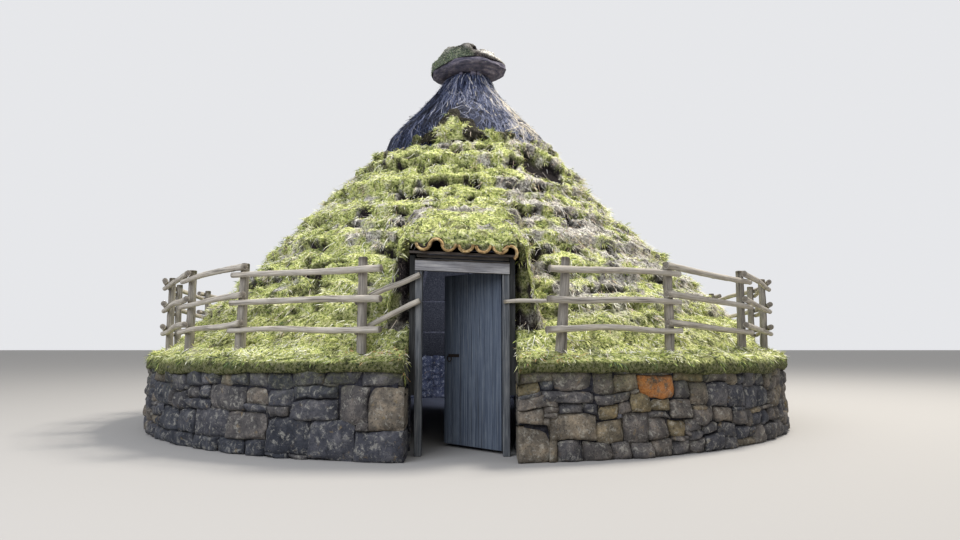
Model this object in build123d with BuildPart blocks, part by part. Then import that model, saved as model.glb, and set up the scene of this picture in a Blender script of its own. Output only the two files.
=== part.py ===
"""Round shepherd hut: a dry-stone ring wall, a turfed cone roof on poles and a rail fence on the wall.

Millimetres, +Z up. The origin is on the ground at the centre of the ring, and the doorway faces -Y.
Azimuths are measured from the doorway, positive towards +X.
"""

import os
from math import asin, atan2, cos, degrees, radians, sin, sqrt, tan

from build123d import *

# Fits between pieces
fit = 0.3

# Ring wall
wall_outer_radius = 4620
wall_batter = 40
wall_thickness = 900
wall_height = 850
wall_parts_per_side = 5

# Door frame
opening_width = 810
opening_height = 1840
jamb_width = 75
jamb_depth = 100
frame_setback = 490
head_height = 170
lintel_board_height = 105
lintel_board_thickness = 25
lintel_board_drop = 5

# Boards that hold the turf back beside and over the frame
cheek_thickness = 55
cheek_setback = 6
cheek_foot_depth = 250
deck_thickness = 28
deck_slope = 8
deck_overhang = 100

# Door leaf
door_rest_angle = 45
leaf_lap = 25
leaf_gap = 6
leaf_floor_gap = 35
leaf_top_lap = 22
board_count = 7
board_gap = 3
board_thickness = 28
ledge_width = 110
ledge_thickness = 30
ledge_inset = 30
ledge_edge_distance = 220
leaf_to_pin = 20
strap_length = 460
strap_width = 40
strap_thickness = 5
eye_outer_radius = 13
pin_radius = 7
pin_clearance = 0.06
pin_tail = 34
pin_tip = 12
pintle_arm_radius = 6
eye_lift = 1
latch_height = 985
latch_length = 170
latch_width = 34
latch_thickness = 4
latch_inset = 45
pull_radius = 32
pull_wire = 5
staple_radius = 5
staple_reach = 16

# Curved clay tiles over the door
tile_radius = 84
tile_thickness = 14
tile_length = 420
tile_overhang = 165
pan_pitch = 173
pans_together = 4
first_pan = -134
side_pan = -388
end_cover_step = 95

# Roof layers, measured square to the slope from the turf's face inwards
roof_pitch = 46.3
eaves_setback = 340
eaves_rise = 230
turf_thickness = 170
brush_thickness = 120
hoop_radius = 20
turf_rim_overhang = 30
turf_rim_rise = 60
turf_top_radius = 1050
course_count = 8
course_step = 110
course_nose = 45
course_lap = 15

# Turf hood round the door frame
hood_setback = 55
hood_front_depth = 90
hood_pitch = 21
hood_foot_width = 300
hood_shoulder_width = 140
hood_shoulder_drop = 320
hood_top_width = 40

# Roof poles
rafter_count = 17
first_rafter = 12
rafter_foot_radius = 58
rafter_head_radius = 40
rafter_head_distance = 275
hoop_count = 6
first_hoop_rise = 500
last_hoop_drop = 430

# Thatch cap, capstone and the sods on it
cap_foot_radius = 1350
cap_shoulder_radius = 840
cap_shoulder_rise = 760
cap_waist_radius = 560
cap_waist_rise = 1235
cap_neck_radius = 300
cap_neck_rise = 1510
capstone_reach = (620, 575, 610, 560, 595, 570, 625, 590, 555)
capstone_bevel = 190
capstone_bevel_height = 85
capstone_edge_height = 85
sod_setback = 5
sod_height = 330
sod_lean = 70

# Rail fence on the wall: the bays beside the doorway differ, the ones behind are even
fence_setback = 290
left_first_post = 13.3
right_first_post = 13.0
left_front_bays = (20.5, 15.0, 15.4, 15.3, 16.5)
right_front_bays = (17.2, 19.1, 17.7, 17.5, 19.9)
left_back_bays = 5
right_back_bays = 4
post_foot_radius = 50
post_top_radius = 44
post_height = 1125
left_post_leans = (0, 52, 45)
right_post_leans = (68, 0, 0)
rail_butt_radius = 36
rail_tip_radius = 29
rail_butt_overhang = 125
left_first_overhang = 260
right_first_overhang = 215
rail_tip_overhang = 110
rail_step = 76
rail_drops = {"top": 125, "middle": 425, "bottom": 725}

# Short rails between the first posts and the jambs
brace_radius = 28
stub_radius = 20
brace_tail = 90
upper_brace_jamb_drop = 55
upper_brace_post_drop = 415
lower_brace_jamb_drop = 320
lower_brace_post_drop = 713
stub_jamb_drop = 305
stub_post_drop = 430
jamb_bearing = 58

# Places worked out from the sizes above
frame_front = -(wall_outer_radius - frame_setback)
frame_back = frame_front + jamb_depth
jamb_outer = opening_width / 2 + jamb_width
cheek_inner = jamb_outer + fit
cheek_outer = cheek_inner + cheek_thickness
reveal = cheek_outer + fit
head_top = opening_height + head_height
brush_outer = turf_thickness
brush_inner = brush_outer + brush_thickness
rafter_outer = brush_inner + 2 * hoop_radius + 2 * fit
eaves_radius = wall_outer_radius - eaves_setback
eaves_height = wall_height + eaves_rise
fence_radius = wall_outer_radius - fence_setback
post_top_height = wall_height + post_height
pan_inner_radius = tile_radius - tile_thickness
deck_rise = tan(radians(deck_slope))
roof_rise = tan(radians(roof_pitch))


def slope_height(radius, depth):
    """Height of the roof layer that lies this deep under the turf's face."""
    return eaves_height + (eaves_radius - radius) * roof_rise - depth / cos(radians(roof_pitch))


def slope_radius(height, depth):
    """Radius at which that layer reaches a height."""
    drop = depth / cos(radians(roof_pitch))
    return eaves_radius - (height - eaves_height + drop) / roof_rise


def deck_height(y, above=0):
    """Height of the deck's underside at a distance from the ring's centre."""
    return head_top + (y - frame_front) * deck_rise + above / cos(radians(deck_slope))


def deck_radius(depth):
    """Distance from the axis at which the deck meets the roof layer that lies this deep."""
    level = slope_height(0, depth) - head_top + frame_front * deck_rise
    return level / (roof_rise - deck_rise)


def around(radius, azimuth, height=0):
    """Point on a circle about the hut's axis."""
    return Vector(radius * sin(radians(azimuth)), -radius * cos(radians(azimuth)), height)


def section_plane(azimuth):
    """Upright plane through the axis, with its x axis pointing outwards."""
    return Plane(origin=(0, 0, 0), x_dir=around(1, azimuth), z_dir=(-cos(radians(azimuth)), -sin(radians(azimuth)), 0))


def ring_part(points, start, end):
    """Solid of a section swept about the axis between two azimuths."""
    with BuildPart() as ring:
        with BuildSketch(section_plane(start)):
            with BuildLine():
                Polyline(*points, close=True)
            make_face()
        revolve(axis=Axis.Z, revolution_arc=end - start)
    return ring.part


def side_panel(points, inner, outer):
    """Upright slab between two distances to the right of the centre line, from points along Y and Z."""
    with BuildPart() as panel:
        with BuildSketch(Plane.YZ.offset(inner)):
            with BuildLine():
                Polyline(*points, close=True)
            make_face()
        extrude(amount=outer - inner)
    return panel.part


def pole_plane(foot, head):
    """Plane at a pole's foot that looks along the pole."""
    return Plane(origin=foot, z_dir=head - foot)


def pole_size(foot, head, foot_radius, head_radius):
    """Sizes of a tapered pole, for Cone."""
    return {"bottom_radius": foot_radius, "top_radius": head_radius, "height": (head - foot).length}


def write(part, name):
    """Names a finished piece and writes its file."""
    part.label = name
    export_step(part, f"parts/{name}.step")


os.makedirs("parts", exist_ok=True)
low_end = (Align.CENTER, Align.CENTER, Align.MIN)
high_end = (Align.CENTER, Align.CENTER, Align.MAX)

# Fence layout
even_bay = (360 - left_first_post - right_first_post - sum(left_front_bays) - sum(right_front_bays)) / (
    left_back_bays + right_back_bays
)


def post_azimuths(first, front_bays, back_bays):
    """Azimuths of one side's posts, counted from the doorway."""
    azimuths = [first]
    for bay in list(front_bays) + [even_bay] * back_bays:
        azimuths.append(azimuths[-1] + bay)
    return azimuths


left_posts = [-a for a in post_azimuths(left_first_post, left_front_bays, left_back_bays)]
right_posts = post_azimuths(right_first_post, right_front_bays, right_back_bays)
post_foot = wall_height
post_leans = dict(zip(left_posts, left_post_leans)) | dict(zip(right_posts, right_post_leans))


def post_radius(height):
    """Radius of a post at a height."""
    share = (height - post_foot) / (post_top_height - post_foot)
    return post_foot_radius + (post_top_radius - post_foot_radius) * share


def post_point(azimuth, height):
    """Point on the axis of a post. Some posts lean along the wall, to the right as seen from outside."""
    share = (height - post_foot) / (post_top_height - post_foot)
    return around(fence_radius, azimuth, height) + around(post_leans.get(azimuth, 0) * share, azimuth + 90)


def post_solid(azimuth, clearance):
    """Post that stands level on the wall, or the hole for it in the turf."""
    foot, top = post_point(azimuth, post_foot), post_point(azimuth, post_top_height)
    sizes = pole_size(foot, top, post_foot_radius + clearance, post_top_radius + clearance)
    with BuildPart() as post:
        with Locations(pole_plane(foot, top)):
            Cone(**sizes, align=low_end)
            Cylinder(post_foot_radius + clearance, post_foot_radius / 4, align=high_end)
        split(bisect_by=Plane.XY.offset(post_foot), keep=Keep.TOP)
    return post.part


# Ring wall
wall_section = (
    (wall_outer_radius - wall_thickness, 0),
    (wall_outer_radius, 0),
    (wall_outer_radius - wall_batter, wall_height),
    (wall_outer_radius - wall_thickness, wall_height),
)
first_joint = degrees(asin(reveal / wall_outer_radius))
part_arc = (180 - first_joint) / wall_parts_per_side


def part_range(index):
    """Azimuths between which a part of one side lies. The first runs on to the doorway's cut."""
    start = 0 if index == 1 else first_joint + part_arc * (index - 1)
    return start, first_joint + part_arc * index


def wall_part(index):
    """One part of the right half of the ring wall, with the doorway's reveal on the first."""
    with BuildPart() as wall:
        add(ring_part(wall_section, *part_range(index)))
        if index == 1:
            split(bisect_by=Plane.YZ.offset(reveal), keep=Keep.TOP)
    return wall.part


for index in range(1, wall_parts_per_side + 1):
    right_wall = wall_part(index)
    write(right_wall, f"wall_right_{index}")
    write(mirror(right_wall, about=Plane.YZ), f"wall_left_{index}")

# Turf on the slope, in parts that stand on the wall's joints
cap_foot_height = slope_height(cap_foot_radius, brush_outer)
cap_top_height = cap_foot_height + cap_neck_rise


def cap_height(radius):
    """Height of the thatch cap's face between its foot and its shoulder."""
    return cap_foot_height + cap_shoulder_rise * (cap_foot_radius - radius) / (cap_foot_radius - cap_shoulder_radius)


# The sods lie in courses, each with a nose that laps over the course below
course_length = (eaves_radius - turf_top_radius) / cos(radians(roof_pitch)) / course_count


def slope_point(run, rise):
    """Point of a section that lies this far up the slope from the eaves, and this far out of its plane."""
    pitch = radians(roof_pitch)
    return eaves_radius - run * cos(pitch) + rise * sin(pitch), eaves_height + run * sin(pitch) + rise * cos(pitch)


course_points = ()
for number in range(1, course_count):
    foot = course_length * number
    course_points += (
        slope_point(foot, -course_step / 2),
        slope_point(foot - course_lap, 0),
        slope_point(foot + course_nose, course_step / 2),
    )

turf_rim = wall_outer_radius - wall_batter + turf_rim_overhang
turf_outline = (
    (turf_rim, wall_height),
    (turf_rim, wall_height + turf_rim_rise),
    (eaves_radius, eaves_height),
    *course_points,
    (turf_top_radius, slope_height(turf_top_radius, 0)),
)
turf_inside = (
    (turf_top_radius, cap_height(turf_top_radius)),
    (cap_foot_radius, cap_foot_height),
    (slope_radius(wall_height, brush_outer), wall_height),
)
turf_section = turf_outline + turf_inside
turf_body = turf_outline + ((0, slope_height(turf_top_radius, 0)), (0, wall_height))
under_turf = ((0, 0),) + turf_inside[::-1] + ((0, cap_height(turf_top_radius)),)


def posts_within(azimuths, start, end):
    """Azimuths of the posts that stand between two azimuths, or just beyond them."""
    margin = degrees(2 * post_foot_radius / fence_radius)
    return [a for a in azimuths if start - margin < abs(a) < end + margin]


def turf_part(index, azimuths):
    """One part of the turf, cut round the fence posts that stand in it."""
    start, end = part_range(index)
    side = 1 if azimuths[0] > 0 else -1
    with BuildPart() as turf:
        add(ring_part(turf_section, start, end) if side > 0 else ring_part(turf_section, -end, -start))
        if index == 1:
            split(bisect_by=Plane.YZ.offset(side * reveal), keep=Keep.TOP if side > 0 else Keep.BOTTOM)
        for azimuth in posts_within(azimuths, start, end):
            add(post_solid(azimuth, fit), mode=Mode.SUBTRACT)
    return turf.part


for index in range(1, wall_parts_per_side + 1):
    meeting_left = [right_posts[-1] - 360]
    write(turf_part(index, right_posts), f"turf_right_{index}")
    write(turf_part(index, left_posts[:-1] + meeting_left), f"turf_left_{index}")

# Turf over the doorway: the slope above the deck, and a hood that comes forward over the tiles
tile_back = frame_front - tile_overhang + tile_length * cos(radians(deck_slope))
hood_front = frame_front - tile_overhang + hood_setback


def seat_of_cover(cover, pans):
    """Height of a cover tile's axis over the pans' rims, where it first bears on them."""
    seat = -pan_inner_radius
    for pan in pans:
        for edge in (tile_radius, pan_inner_radius, -pan_inner_radius, -tile_radius):
            for distance in (pan + edge - cover, cover + edge - pan):
                if abs(distance) < pan_inner_radius:
                    seat = max(seat, -sqrt(pan_inner_radius**2 - distance**2))
    return seat + fit


pans = [side_pan] + [first_pan + pan_pitch * i for i in range(pans_together)]
covers = [(side_pan + first_pan) / 2, pans[-1] + end_cover_step]
cover_seats = [seat_of_cover(cover, pans) for cover in covers]
rim_height = deck_thickness + tile_radius + 2 * fit
tile_stack = rim_height + max(cover_seats) + tile_radius + fit
hood_lip = deck_height(hood_front, tile_stack) + hood_front_depth
hood_rise = tan(radians(hood_pitch))


def hood_height(y):
    """Height of the hood's top along the centre line."""
    return hood_lip + (y - hood_front) * hood_rise


deck_back = -deck_radius(brush_inner)
hood_back = deck_back + 2 * brush_thickness
hood_end = -cap_foot_radius
deck_top = deck_thickness + fit
hood_outline = (
    (hood_front, deck_height(hood_front, tile_stack)),
    (hood_front, hood_lip),
    (hood_back, hood_height(hood_back)),
    (hood_back, deck_height(hood_back, deck_top)),
    (tile_back + fit, deck_height(tile_back + fit, deck_top)),
    (tile_back + fit, deck_height(tile_back + fit, tile_stack)),
)
tile_zone = (
    (hood_front, deck_height(hood_front, deck_thickness)),
    (hood_front, deck_height(hood_front, tile_stack)),
    (tile_back + fit, deck_height(tile_back + fit, tile_stack)),
    (tile_back + fit, deck_height(tile_back + fit, deck_thickness)),
)
centre_slab_height = slope_height(0, 0)
centre_outline = (
    (-wall_outer_radius, deck_height(-wall_outer_radius, deck_top)),
    (0, deck_height(0, deck_top)),
    (0, centre_slab_height),
    (-wall_outer_radius, centre_slab_height),
)
with BuildPart() as turf_over_door:
    add(ring_part(turf_section, -90, 90))
    add(side_panel(centre_outline, -reveal, reveal), mode=Mode.INTERSECT)
    add(side_panel(hood_outline, -reveal, reveal))
    add(ring_part(under_turf, -90, 90), mode=Mode.SUBTRACT)
write(turf_over_door.part, "turf_over_door")


def hood_side(side):
    """Turf banked against one side of the door frame, down to the slope."""
    foot = cheek_outer + fit
    with BuildPart() as hood:
        with BuildSketch(Plane.XZ.offset(-(frame_front + cheek_setback + deck_thickness))):
            with BuildLine():
                Polyline(
                    (side * foot, wall_height),
                    (side * (foot + hood_foot_width), wall_height),
                    (side * (foot + hood_shoulder_width), head_top - hood_shoulder_drop),
                    (side * (foot + hood_top_width), hood_lip),
                    (side * (foot + hood_top_width), hood_height(hood_end)),
                    (side * foot, hood_height(hood_end)),
                    close=True,
                )
            make_face()
        extrude(amount=hood_end - frame_front - cheek_setback - deck_thickness, dir=(0, 1, 0))
        split(bisect_by=Plane(origin=(0, hood_front, hood_lip), z_dir=(0, -hood_rise, 1)), keep=Keep.BOTTOM)
        add(ring_part(turf_body, -90, 90), mode=Mode.SUBTRACT)
        add(side_panel(tile_zone, 0, covers[-1] + tile_radius + fit), mode=Mode.SUBTRACT)
    return hood.part


with BuildPart() as turf_hood:
    add(hood_side(1))
    add(hood_side(-1))
write(turf_hood.part, "turf_hood")

# Brush under the turf
brush_section = (
    (slope_radius(wall_height, brush_outer), wall_height),
    (cap_foot_radius, cap_foot_height),
    (cap_foot_radius, slope_height(cap_foot_radius, brush_inner)),
    (slope_radius(wall_height, brush_inner), wall_height),
)
doorway_outline = (
    (-wall_outer_radius, 0),
    (0, 0),
    (0, deck_height(0, deck_top)),
    (-wall_outer_radius, deck_height(-wall_outer_radius, deck_top)),
)
with BuildPart() as brush_lining:
    add(ring_part(brush_section, 0, 360))
    add(side_panel(doorway_outline, -reveal, reveal), mode=Mode.SUBTRACT)
write(brush_lining.part, "brush_lining")

# Hoops between the brush and the rafters
hoop_depth = brush_inner + fit + hoop_radius
first_hoop = wall_height + first_hoop_rise
last_hoop = slope_height(rafter_head_distance, rafter_outer) - last_hoop_drop
with BuildPart() as hoops:
    for number in range(hoop_count):
        height = first_hoop + (last_hoop - first_hoop) * number / (hoop_count - 1)
        with Locations((0, 0, height)):
            Torus(slope_radius(height, hoop_depth), hoop_radius)
    add(side_panel(doorway_outline, -reveal, reveal), mode=Mode.SUBTRACT)
write(hoops.part, "hoops")

# Rafters, cut level on the wall
rafter_foot_height = wall_height - rafter_foot_radius * 2
rafter_head_height = slope_height(rafter_head_distance, rafter_outer + rafter_head_radius)


def rafter_point(azimuth, height, radius):
    """Point on a rafter's axis, which keeps its outer side against the hoops."""
    return around(slope_radius(height, rafter_outer + radius), azimuth, height)


rafter_step = (360 - 2 * first_rafter) / (rafter_count - 1)
with BuildPart() as rafters:
    for number in range(rafter_count):
        azimuth = first_rafter + rafter_step * number
        foot = rafter_point(azimuth, rafter_foot_height, rafter_foot_radius)
        head = rafter_point(azimuth, rafter_head_height, rafter_head_radius)
        with Locations(pole_plane(foot, head)):
            Cone(**pole_size(foot, head, rafter_foot_radius, rafter_head_radius), align=low_end)
    split(bisect_by=Plane.XY.offset(wall_height), keep=Keep.TOP)
write(rafters.part, "rafters")

# Thatch cap, hollow over the rafters and drawn in under the capstone
with BuildPart() as thatch_cap:
    with BuildSketch(Plane.XZ):
        with BuildLine():
            Polyline(
                (cap_neck_radius, cap_top_height),
                (0, cap_top_height),
                (0, slope_height(0, brush_inner)),
                (cap_foot_radius, slope_height(cap_foot_radius, brush_inner)),
                (cap_foot_radius, cap_foot_height),
                (cap_shoulder_radius, cap_height(cap_shoulder_radius)),
            )
            Spline(
                (cap_shoulder_radius, cap_height(cap_shoulder_radius)),
                (cap_waist_radius, cap_foot_height + cap_waist_rise),
                (cap_neck_radius, cap_top_height),
            )
        make_face()
    revolve(axis=Axis.Z)
write(thatch_cap.part, "thatch_cap")


# Capstone: a rough slab, bevelled underneath
def slab_outline(inset):
    """Points round the slab's uneven edge."""
    turn = 360 / len(capstone_reach)
    return [around(reach - inset, number * turn) for number, reach in enumerate(capstone_reach)]


bevel_height = cap_top_height + capstone_bevel_height
slab_top = bevel_height + capstone_edge_height
with BuildPart() as capstone:
    for height, inset in ((cap_top_height, capstone_bevel), (bevel_height, 0)):
        with BuildSketch(Plane.XY.offset(height)):
            with BuildLine():
                Polyline(*slab_outline(inset), close=True)
            make_face()
    loft(ruled=True)
    with BuildSketch(Plane.XY.offset(bevel_height)):
        with BuildLine():
            Polyline(*slab_outline(0), close=True)
        make_face()
    extrude(amount=capstone_edge_height, taper=6)
write(capstone.part, "capstone")

# Sods on the capstone, heaped towards the left
sod_reach = min(capstone_reach) - sod_setback
with BuildPart() as cap_sods:
    for rise, reach, lean in ((0, 1, 0), (0.5, 0.86, 0.4), (0.85, 0.56, 0.8), (1, 0.2, 1)):
        with BuildSketch(Plane.XY.offset(slab_top + sod_height * rise)):
            with Locations((-sod_lean * lean, 0)):
                Circle(sod_reach * reach)
    loft()
write(cap_sods.part, "cap_sods")

# Door frame
jamb_centre = (opening_width + jamb_width) / 2
with BuildPart() as door_jambs:
    with Locations((-jamb_centre, frame_front, 0), (jamb_centre, frame_front, 0)):
        Box(jamb_width, jamb_depth, opening_height, align=(Align.CENTER, Align.MIN, Align.MIN))
write(door_jambs.part, "door_jambs")

head_outline = (
    (frame_front, opening_height),
    (frame_back, opening_height),
    (frame_back, deck_height(frame_back)),
    (frame_front, head_top),
)
write(side_panel(head_outline, -jamb_outer, jamb_outer), "head_beam")

with BuildPart() as lintel_board:
    with Locations((0, frame_front, opening_height - lintel_board_drop)):
        Box(
            2 * jamb_outer,
            lintel_board_thickness,
            lintel_board_height,
            align=(Align.CENTER, Align.MAX, Align.MIN),
        )
write(lintel_board.part, "lintel_board")

# Cheek boards and the deck
cheek_front = frame_front + cheek_setback
cheek_back_foot = -sqrt(slope_radius(wall_height, brush_inner) ** 2 - cheek_inner**2)
cheek_back_top = -sqrt(deck_radius(brush_inner) ** 2 - cheek_outer**2)
cheek_foot = wall_height - cheek_foot_depth
cheek_outline = (
    (cheek_front, cheek_foot),
    (cheek_back_foot, cheek_foot),
    (cheek_back_foot, wall_height),
    (cheek_back_top, deck_height(cheek_back_top)),
    (cheek_front, deck_height(cheek_front)),
)
with BuildPart() as cheek_boards:
    add(side_panel(cheek_outline, cheek_inner, cheek_outer))
    add(side_panel(cheek_outline, -cheek_outer, -cheek_inner))
write(cheek_boards.part, "cheek_boards")

deck_outline = (
    (frame_front - deck_overhang, deck_height(frame_front - deck_overhang)),
    (deck_back, deck_height(deck_back)),
    (deck_back, deck_height(deck_back, deck_thickness)),
    (frame_front - deck_overhang, deck_height(frame_front - deck_overhang, deck_thickness)),
)
write(side_panel(deck_outline, -cheek_outer, cheek_outer), "tile_deck")


# Clay tiles on the deck
def tile_plane(x, height):
    """Plane across a tile at its upper end, looking down the deck."""
    down = Vector(0, -cos(radians(deck_slope)), -sin(radians(deck_slope)))
    up = Vector(0, -sin(radians(deck_slope)), cos(radians(deck_slope)))
    return Plane(origin=Vector(x, tile_back, deck_height(tile_back)) + up * height, x_dir=(1, 0, 0), z_dir=down)


tile_rows = [(x, rim_height, Align.MIN) for x in pans]
tile_rows += [(x, rim_height + seat, Align.MAX) for x, seat in zip(covers, cover_seats)]
with BuildPart() as door_tiles:
    for x, height, open_side in tile_rows:
        with BuildSketch(tile_plane(x, height)):
            Circle(tile_radius)
            Circle(pan_inner_radius, mode=Mode.SUBTRACT)
            Rectangle(2 * tile_radius, tile_radius, align=(Align.CENTER, open_side), mode=Mode.SUBTRACT)
        extrude(amount=tile_length)
write(door_tiles.part, "door_tiles")

# Door leaf, set on its pin at the angle at which it stands
pin_x = opening_width / 2 + leaf_lap + leaf_to_pin
pin_y = frame_back + leaf_gap + board_thickness + ledge_thickness + strap_thickness / 2
turn = radians(door_rest_angle)
leaf_frame = Plane(origin=(pin_x, pin_y, 0), x_dir=(cos(turn), -sin(turn), 0), z_dir=(0, 0, 1))
leaf_width = opening_width + 2 * leaf_lap
leaf_height = opening_height + leaf_top_lap - leaf_floor_gap
ledge_back = -strap_thickness / 2
board_back = ledge_back - ledge_thickness
board_front = board_back - board_thickness
board_width = (leaf_width - (board_count - 1) * board_gap) / board_count
ledge_heights = (
    leaf_floor_gap + ledge_edge_distance,
    leaf_floor_gap + leaf_height / 2,
    leaf_floor_gap + leaf_height - ledge_edge_distance,
)

with BuildPart(leaf_frame) as door_boards:
    for number in range(board_count):
        x = -leaf_to_pin - board_width / 2 - number * (board_width + board_gap)
        with Locations((x, board_back, leaf_floor_gap)):
            Box(board_width, board_thickness, leaf_height, align=(Align.CENTER, Align.MAX, Align.MIN))
write(door_boards.part, "door_boards")

with BuildPart(leaf_frame) as door_ledges:
    with Locations(*((-leaf_to_pin - leaf_width / 2, ledge_back, height) for height in ledge_heights)):
        Box(
            leaf_width - 2 * ledge_inset,
            ledge_thickness,
            ledge_width,
            align=(Align.CENTER, Align.MAX, Align.CENTER),
        )
write(door_ledges.part, "door_ledges")

with BuildPart(leaf_frame) as strap_hinges:
    with Locations(*((0, 0, height) for height in ledge_heights[::2])):
        Cylinder(eye_outer_radius, strap_width)
        Box(strap_length, strap_thickness, strap_width, align=(Align.MAX, Align.CENTER, Align.CENTER))
        Cylinder(pin_radius + pin_clearance, strap_width, mode=Mode.SUBTRACT)
write(strap_hinges.part, "strap_hinges")

with BuildPart() as pintles:
    for height in ledge_heights[::2]:
        arm_height = height - strap_width / 2 - eye_lift - pintle_arm_radius
        pin_foot = arm_height - pin_tail
        with Locations((pin_x, pin_y, pin_foot)):
            Cylinder(pin_radius, height + strap_width / 2 + pin_tip - pin_foot, align=low_end)
        with Locations(Plane(origin=(pin_x, frame_back, arm_height), z_dir=(0, 1, 0))):
            Cylinder(pintle_arm_radius, pin_y - frame_back, align=low_end)
write(pintles.part, "pintles")

latch_x = -leaf_to_pin - leaf_width + leaf_lap + latch_inset
with BuildPart(leaf_frame) as latch:
    with Locations((latch_x, board_front, latch_height)):
        Box(latch_length, latch_thickness, latch_width, align=(Align.MIN, Align.MAX, Align.CENTER))
    with Locations((latch_x + pull_radius, board_front - latch_thickness - staple_reach / 2, latch_height)):
        Cylinder(staple_radius, staple_reach, rotation=(90, 0, 0))
    with Locations((latch_x + pull_radius, board_front - latch_thickness - staple_reach, latch_height - pull_radius)):
        Torus(pull_radius, pull_wire, rotation=(90, 0, 0))
write(latch.part, "latch")


# Fence: tapered posts that stand on the wall, through the turf, with rails on their outer side
with BuildPart() as fence_posts:
    for azimuth in left_posts[:-1] + right_posts:
        add(post_solid(azimuth, 0))
write(fence_posts.part, "fence_posts")


def rail_ends(start, end, near_height, far_height, butt_overhang):
    """Ends of a rail's axis across one bay, nailed to the outer side of both posts."""
    near, far = post_point(start, near_height), post_point(end, far_height)
    outward = around(1, (start + end) / 2)
    taper = (rail_butt_radius - rail_tip_radius) / (butt_overhang + (far - near).length + rail_tip_overhang)
    near_rail_radius = rail_butt_radius - taper * butt_overhang
    far_rail_radius = rail_tip_radius + taper * rail_tip_overhang
    near_seat = near + outward * (post_radius(near_height) + near_rail_radius + fit)
    far_seat = far + outward * (post_radius(far_height) + far_rail_radius + fit)
    along = (far_seat - near_seat).normalized()
    return near_seat - along * butt_overhang, far_seat + along * rail_tip_overhang


def rail_row(azimuths, height, first_overhang, last_is_high):
    """Ends of one side's rails at one level. Each lies with its butt over the tip of the one before."""
    bays = list(zip(azimuths, azimuths[1:]))
    ends = []
    for number, (start, end) in enumerate(bays):
        near_height = height if number == 0 else height + rail_step
        far_height = height + rail_step if last_is_high and number == len(bays) - 1 else height
        overhang = first_overhang if number == 0 else rail_butt_overhang
        ends.append(rail_ends(start, end, near_height, far_height, overhang))
    return ends


for level, drop in rail_drops.items():
    height = post_top_height - drop
    left_row = rail_row(left_posts, height, left_first_overhang, False)
    right_row = rail_row(right_posts, height, right_first_overhang, True)
    with BuildPart() as rails:
        for butt, tip in left_row + right_row:
            with Locations(pole_plane(butt, tip)):
                Cone(**pole_size(butt, tip, rail_butt_radius, rail_tip_radius), align=low_end)
    write(rails.part, f"fence_{level}_rails")


def jamb_rail(azimuth, jamb_end_height, post_end_height, radius):
    """Ends of a short rail, from a jamb's face to the inner side of the first post."""
    post = post_point(azimuth, post_end_height)
    side = 1 if azimuth > 0 else -1
    jamb_seat = Vector(side * jamb_outer, frame_front - radius - fit, jamb_end_height)
    post_seat = Vector(post.X, post.Y + post_radius(post_end_height) + radius + 2 * fit, post_end_height)
    along = (post_seat - jamb_seat).normalized()
    return jamb_seat - along * jamb_bearing, post_seat + along * brace_tail


jamb_rail_rows = (
    (left_posts[0], upper_brace_jamb_drop, upper_brace_post_drop, brace_radius),
    (left_posts[0], lower_brace_jamb_drop, lower_brace_post_drop, brace_radius),
    (right_posts[0], stub_jamb_drop, stub_post_drop, stub_radius),
)
with BuildPart() as jamb_rails:
    for azimuth, jamb_drop, post_drop, radius in jamb_rail_rows:
        inner, outer = jamb_rail(azimuth, opening_height - jamb_drop, post_top_height - post_drop, radius)
        with Locations(pole_plane(inner, outer)):
            Cylinder(radius, (outer - inner).length, align=low_end)
write(jamb_rails.part, "jamb_rails")
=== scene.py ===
import math

import bmesh
import bpy
import numpy as np
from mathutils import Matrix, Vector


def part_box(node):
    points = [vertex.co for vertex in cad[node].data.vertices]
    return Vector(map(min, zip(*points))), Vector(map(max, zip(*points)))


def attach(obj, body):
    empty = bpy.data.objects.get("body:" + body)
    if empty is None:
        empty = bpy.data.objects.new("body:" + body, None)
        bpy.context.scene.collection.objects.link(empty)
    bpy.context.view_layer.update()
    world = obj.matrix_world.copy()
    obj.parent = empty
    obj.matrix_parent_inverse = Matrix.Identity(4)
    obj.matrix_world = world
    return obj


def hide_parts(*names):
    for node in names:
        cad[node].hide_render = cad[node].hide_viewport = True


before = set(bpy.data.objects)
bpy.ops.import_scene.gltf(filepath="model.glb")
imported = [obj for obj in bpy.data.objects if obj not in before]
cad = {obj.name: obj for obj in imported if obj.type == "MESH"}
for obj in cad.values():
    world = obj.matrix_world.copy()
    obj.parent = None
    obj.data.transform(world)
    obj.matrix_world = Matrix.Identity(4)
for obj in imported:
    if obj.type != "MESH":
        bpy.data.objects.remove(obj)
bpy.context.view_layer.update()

# helpers


def srgb(hexValue):
    parts = [int(hexValue[i:i + 2], 16) / 255 for i in (1, 3, 5)]
    linear = [c / 12.92 if c <= 0.04045 else ((c + 0.055) / 1.055) ** 2.4 for c in parts]
    return (*linear, 1.0)


def lattice(cell, seed):
    # a repeatable number from 0 to 1 for each whole-number cell
    x, y, z = (cell[:, i].astype(np.int64) for i in range(3))
    n = (x * 73856093) ^ (y * 19349663) ^ (z * 83492791) ^ (seed * 2654435761)
    n = (n ^ (n >> 13)) * 1274126177
    n = (n ^ (n >> 16)) & 0xFFFFFF
    return n / 0xFFFFFF


def smoothNoise(points, size, seed=0):
    # value noise from -1 to 1, with features of about this size in metres
    p = np.asarray(points, float) / size
    base = np.floor(p)
    t = p - base
    t = t * t * t * (t * (t * 6 - 15) + 10)
    total = np.zeros(len(p))
    for dx in (0, 1):
        for dy in (0, 1):
            for dz in (0, 1):
                weight = (t[:, 0] if dx else 1 - t[:, 0]) * (t[:, 1] if dy else 1 - t[:, 1])
                weight = weight * (t[:, 2] if dz else 1 - t[:, 2])
                total += weight * lattice(base + (dx, dy, dz), seed)
    return total * 2 - 1


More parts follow.
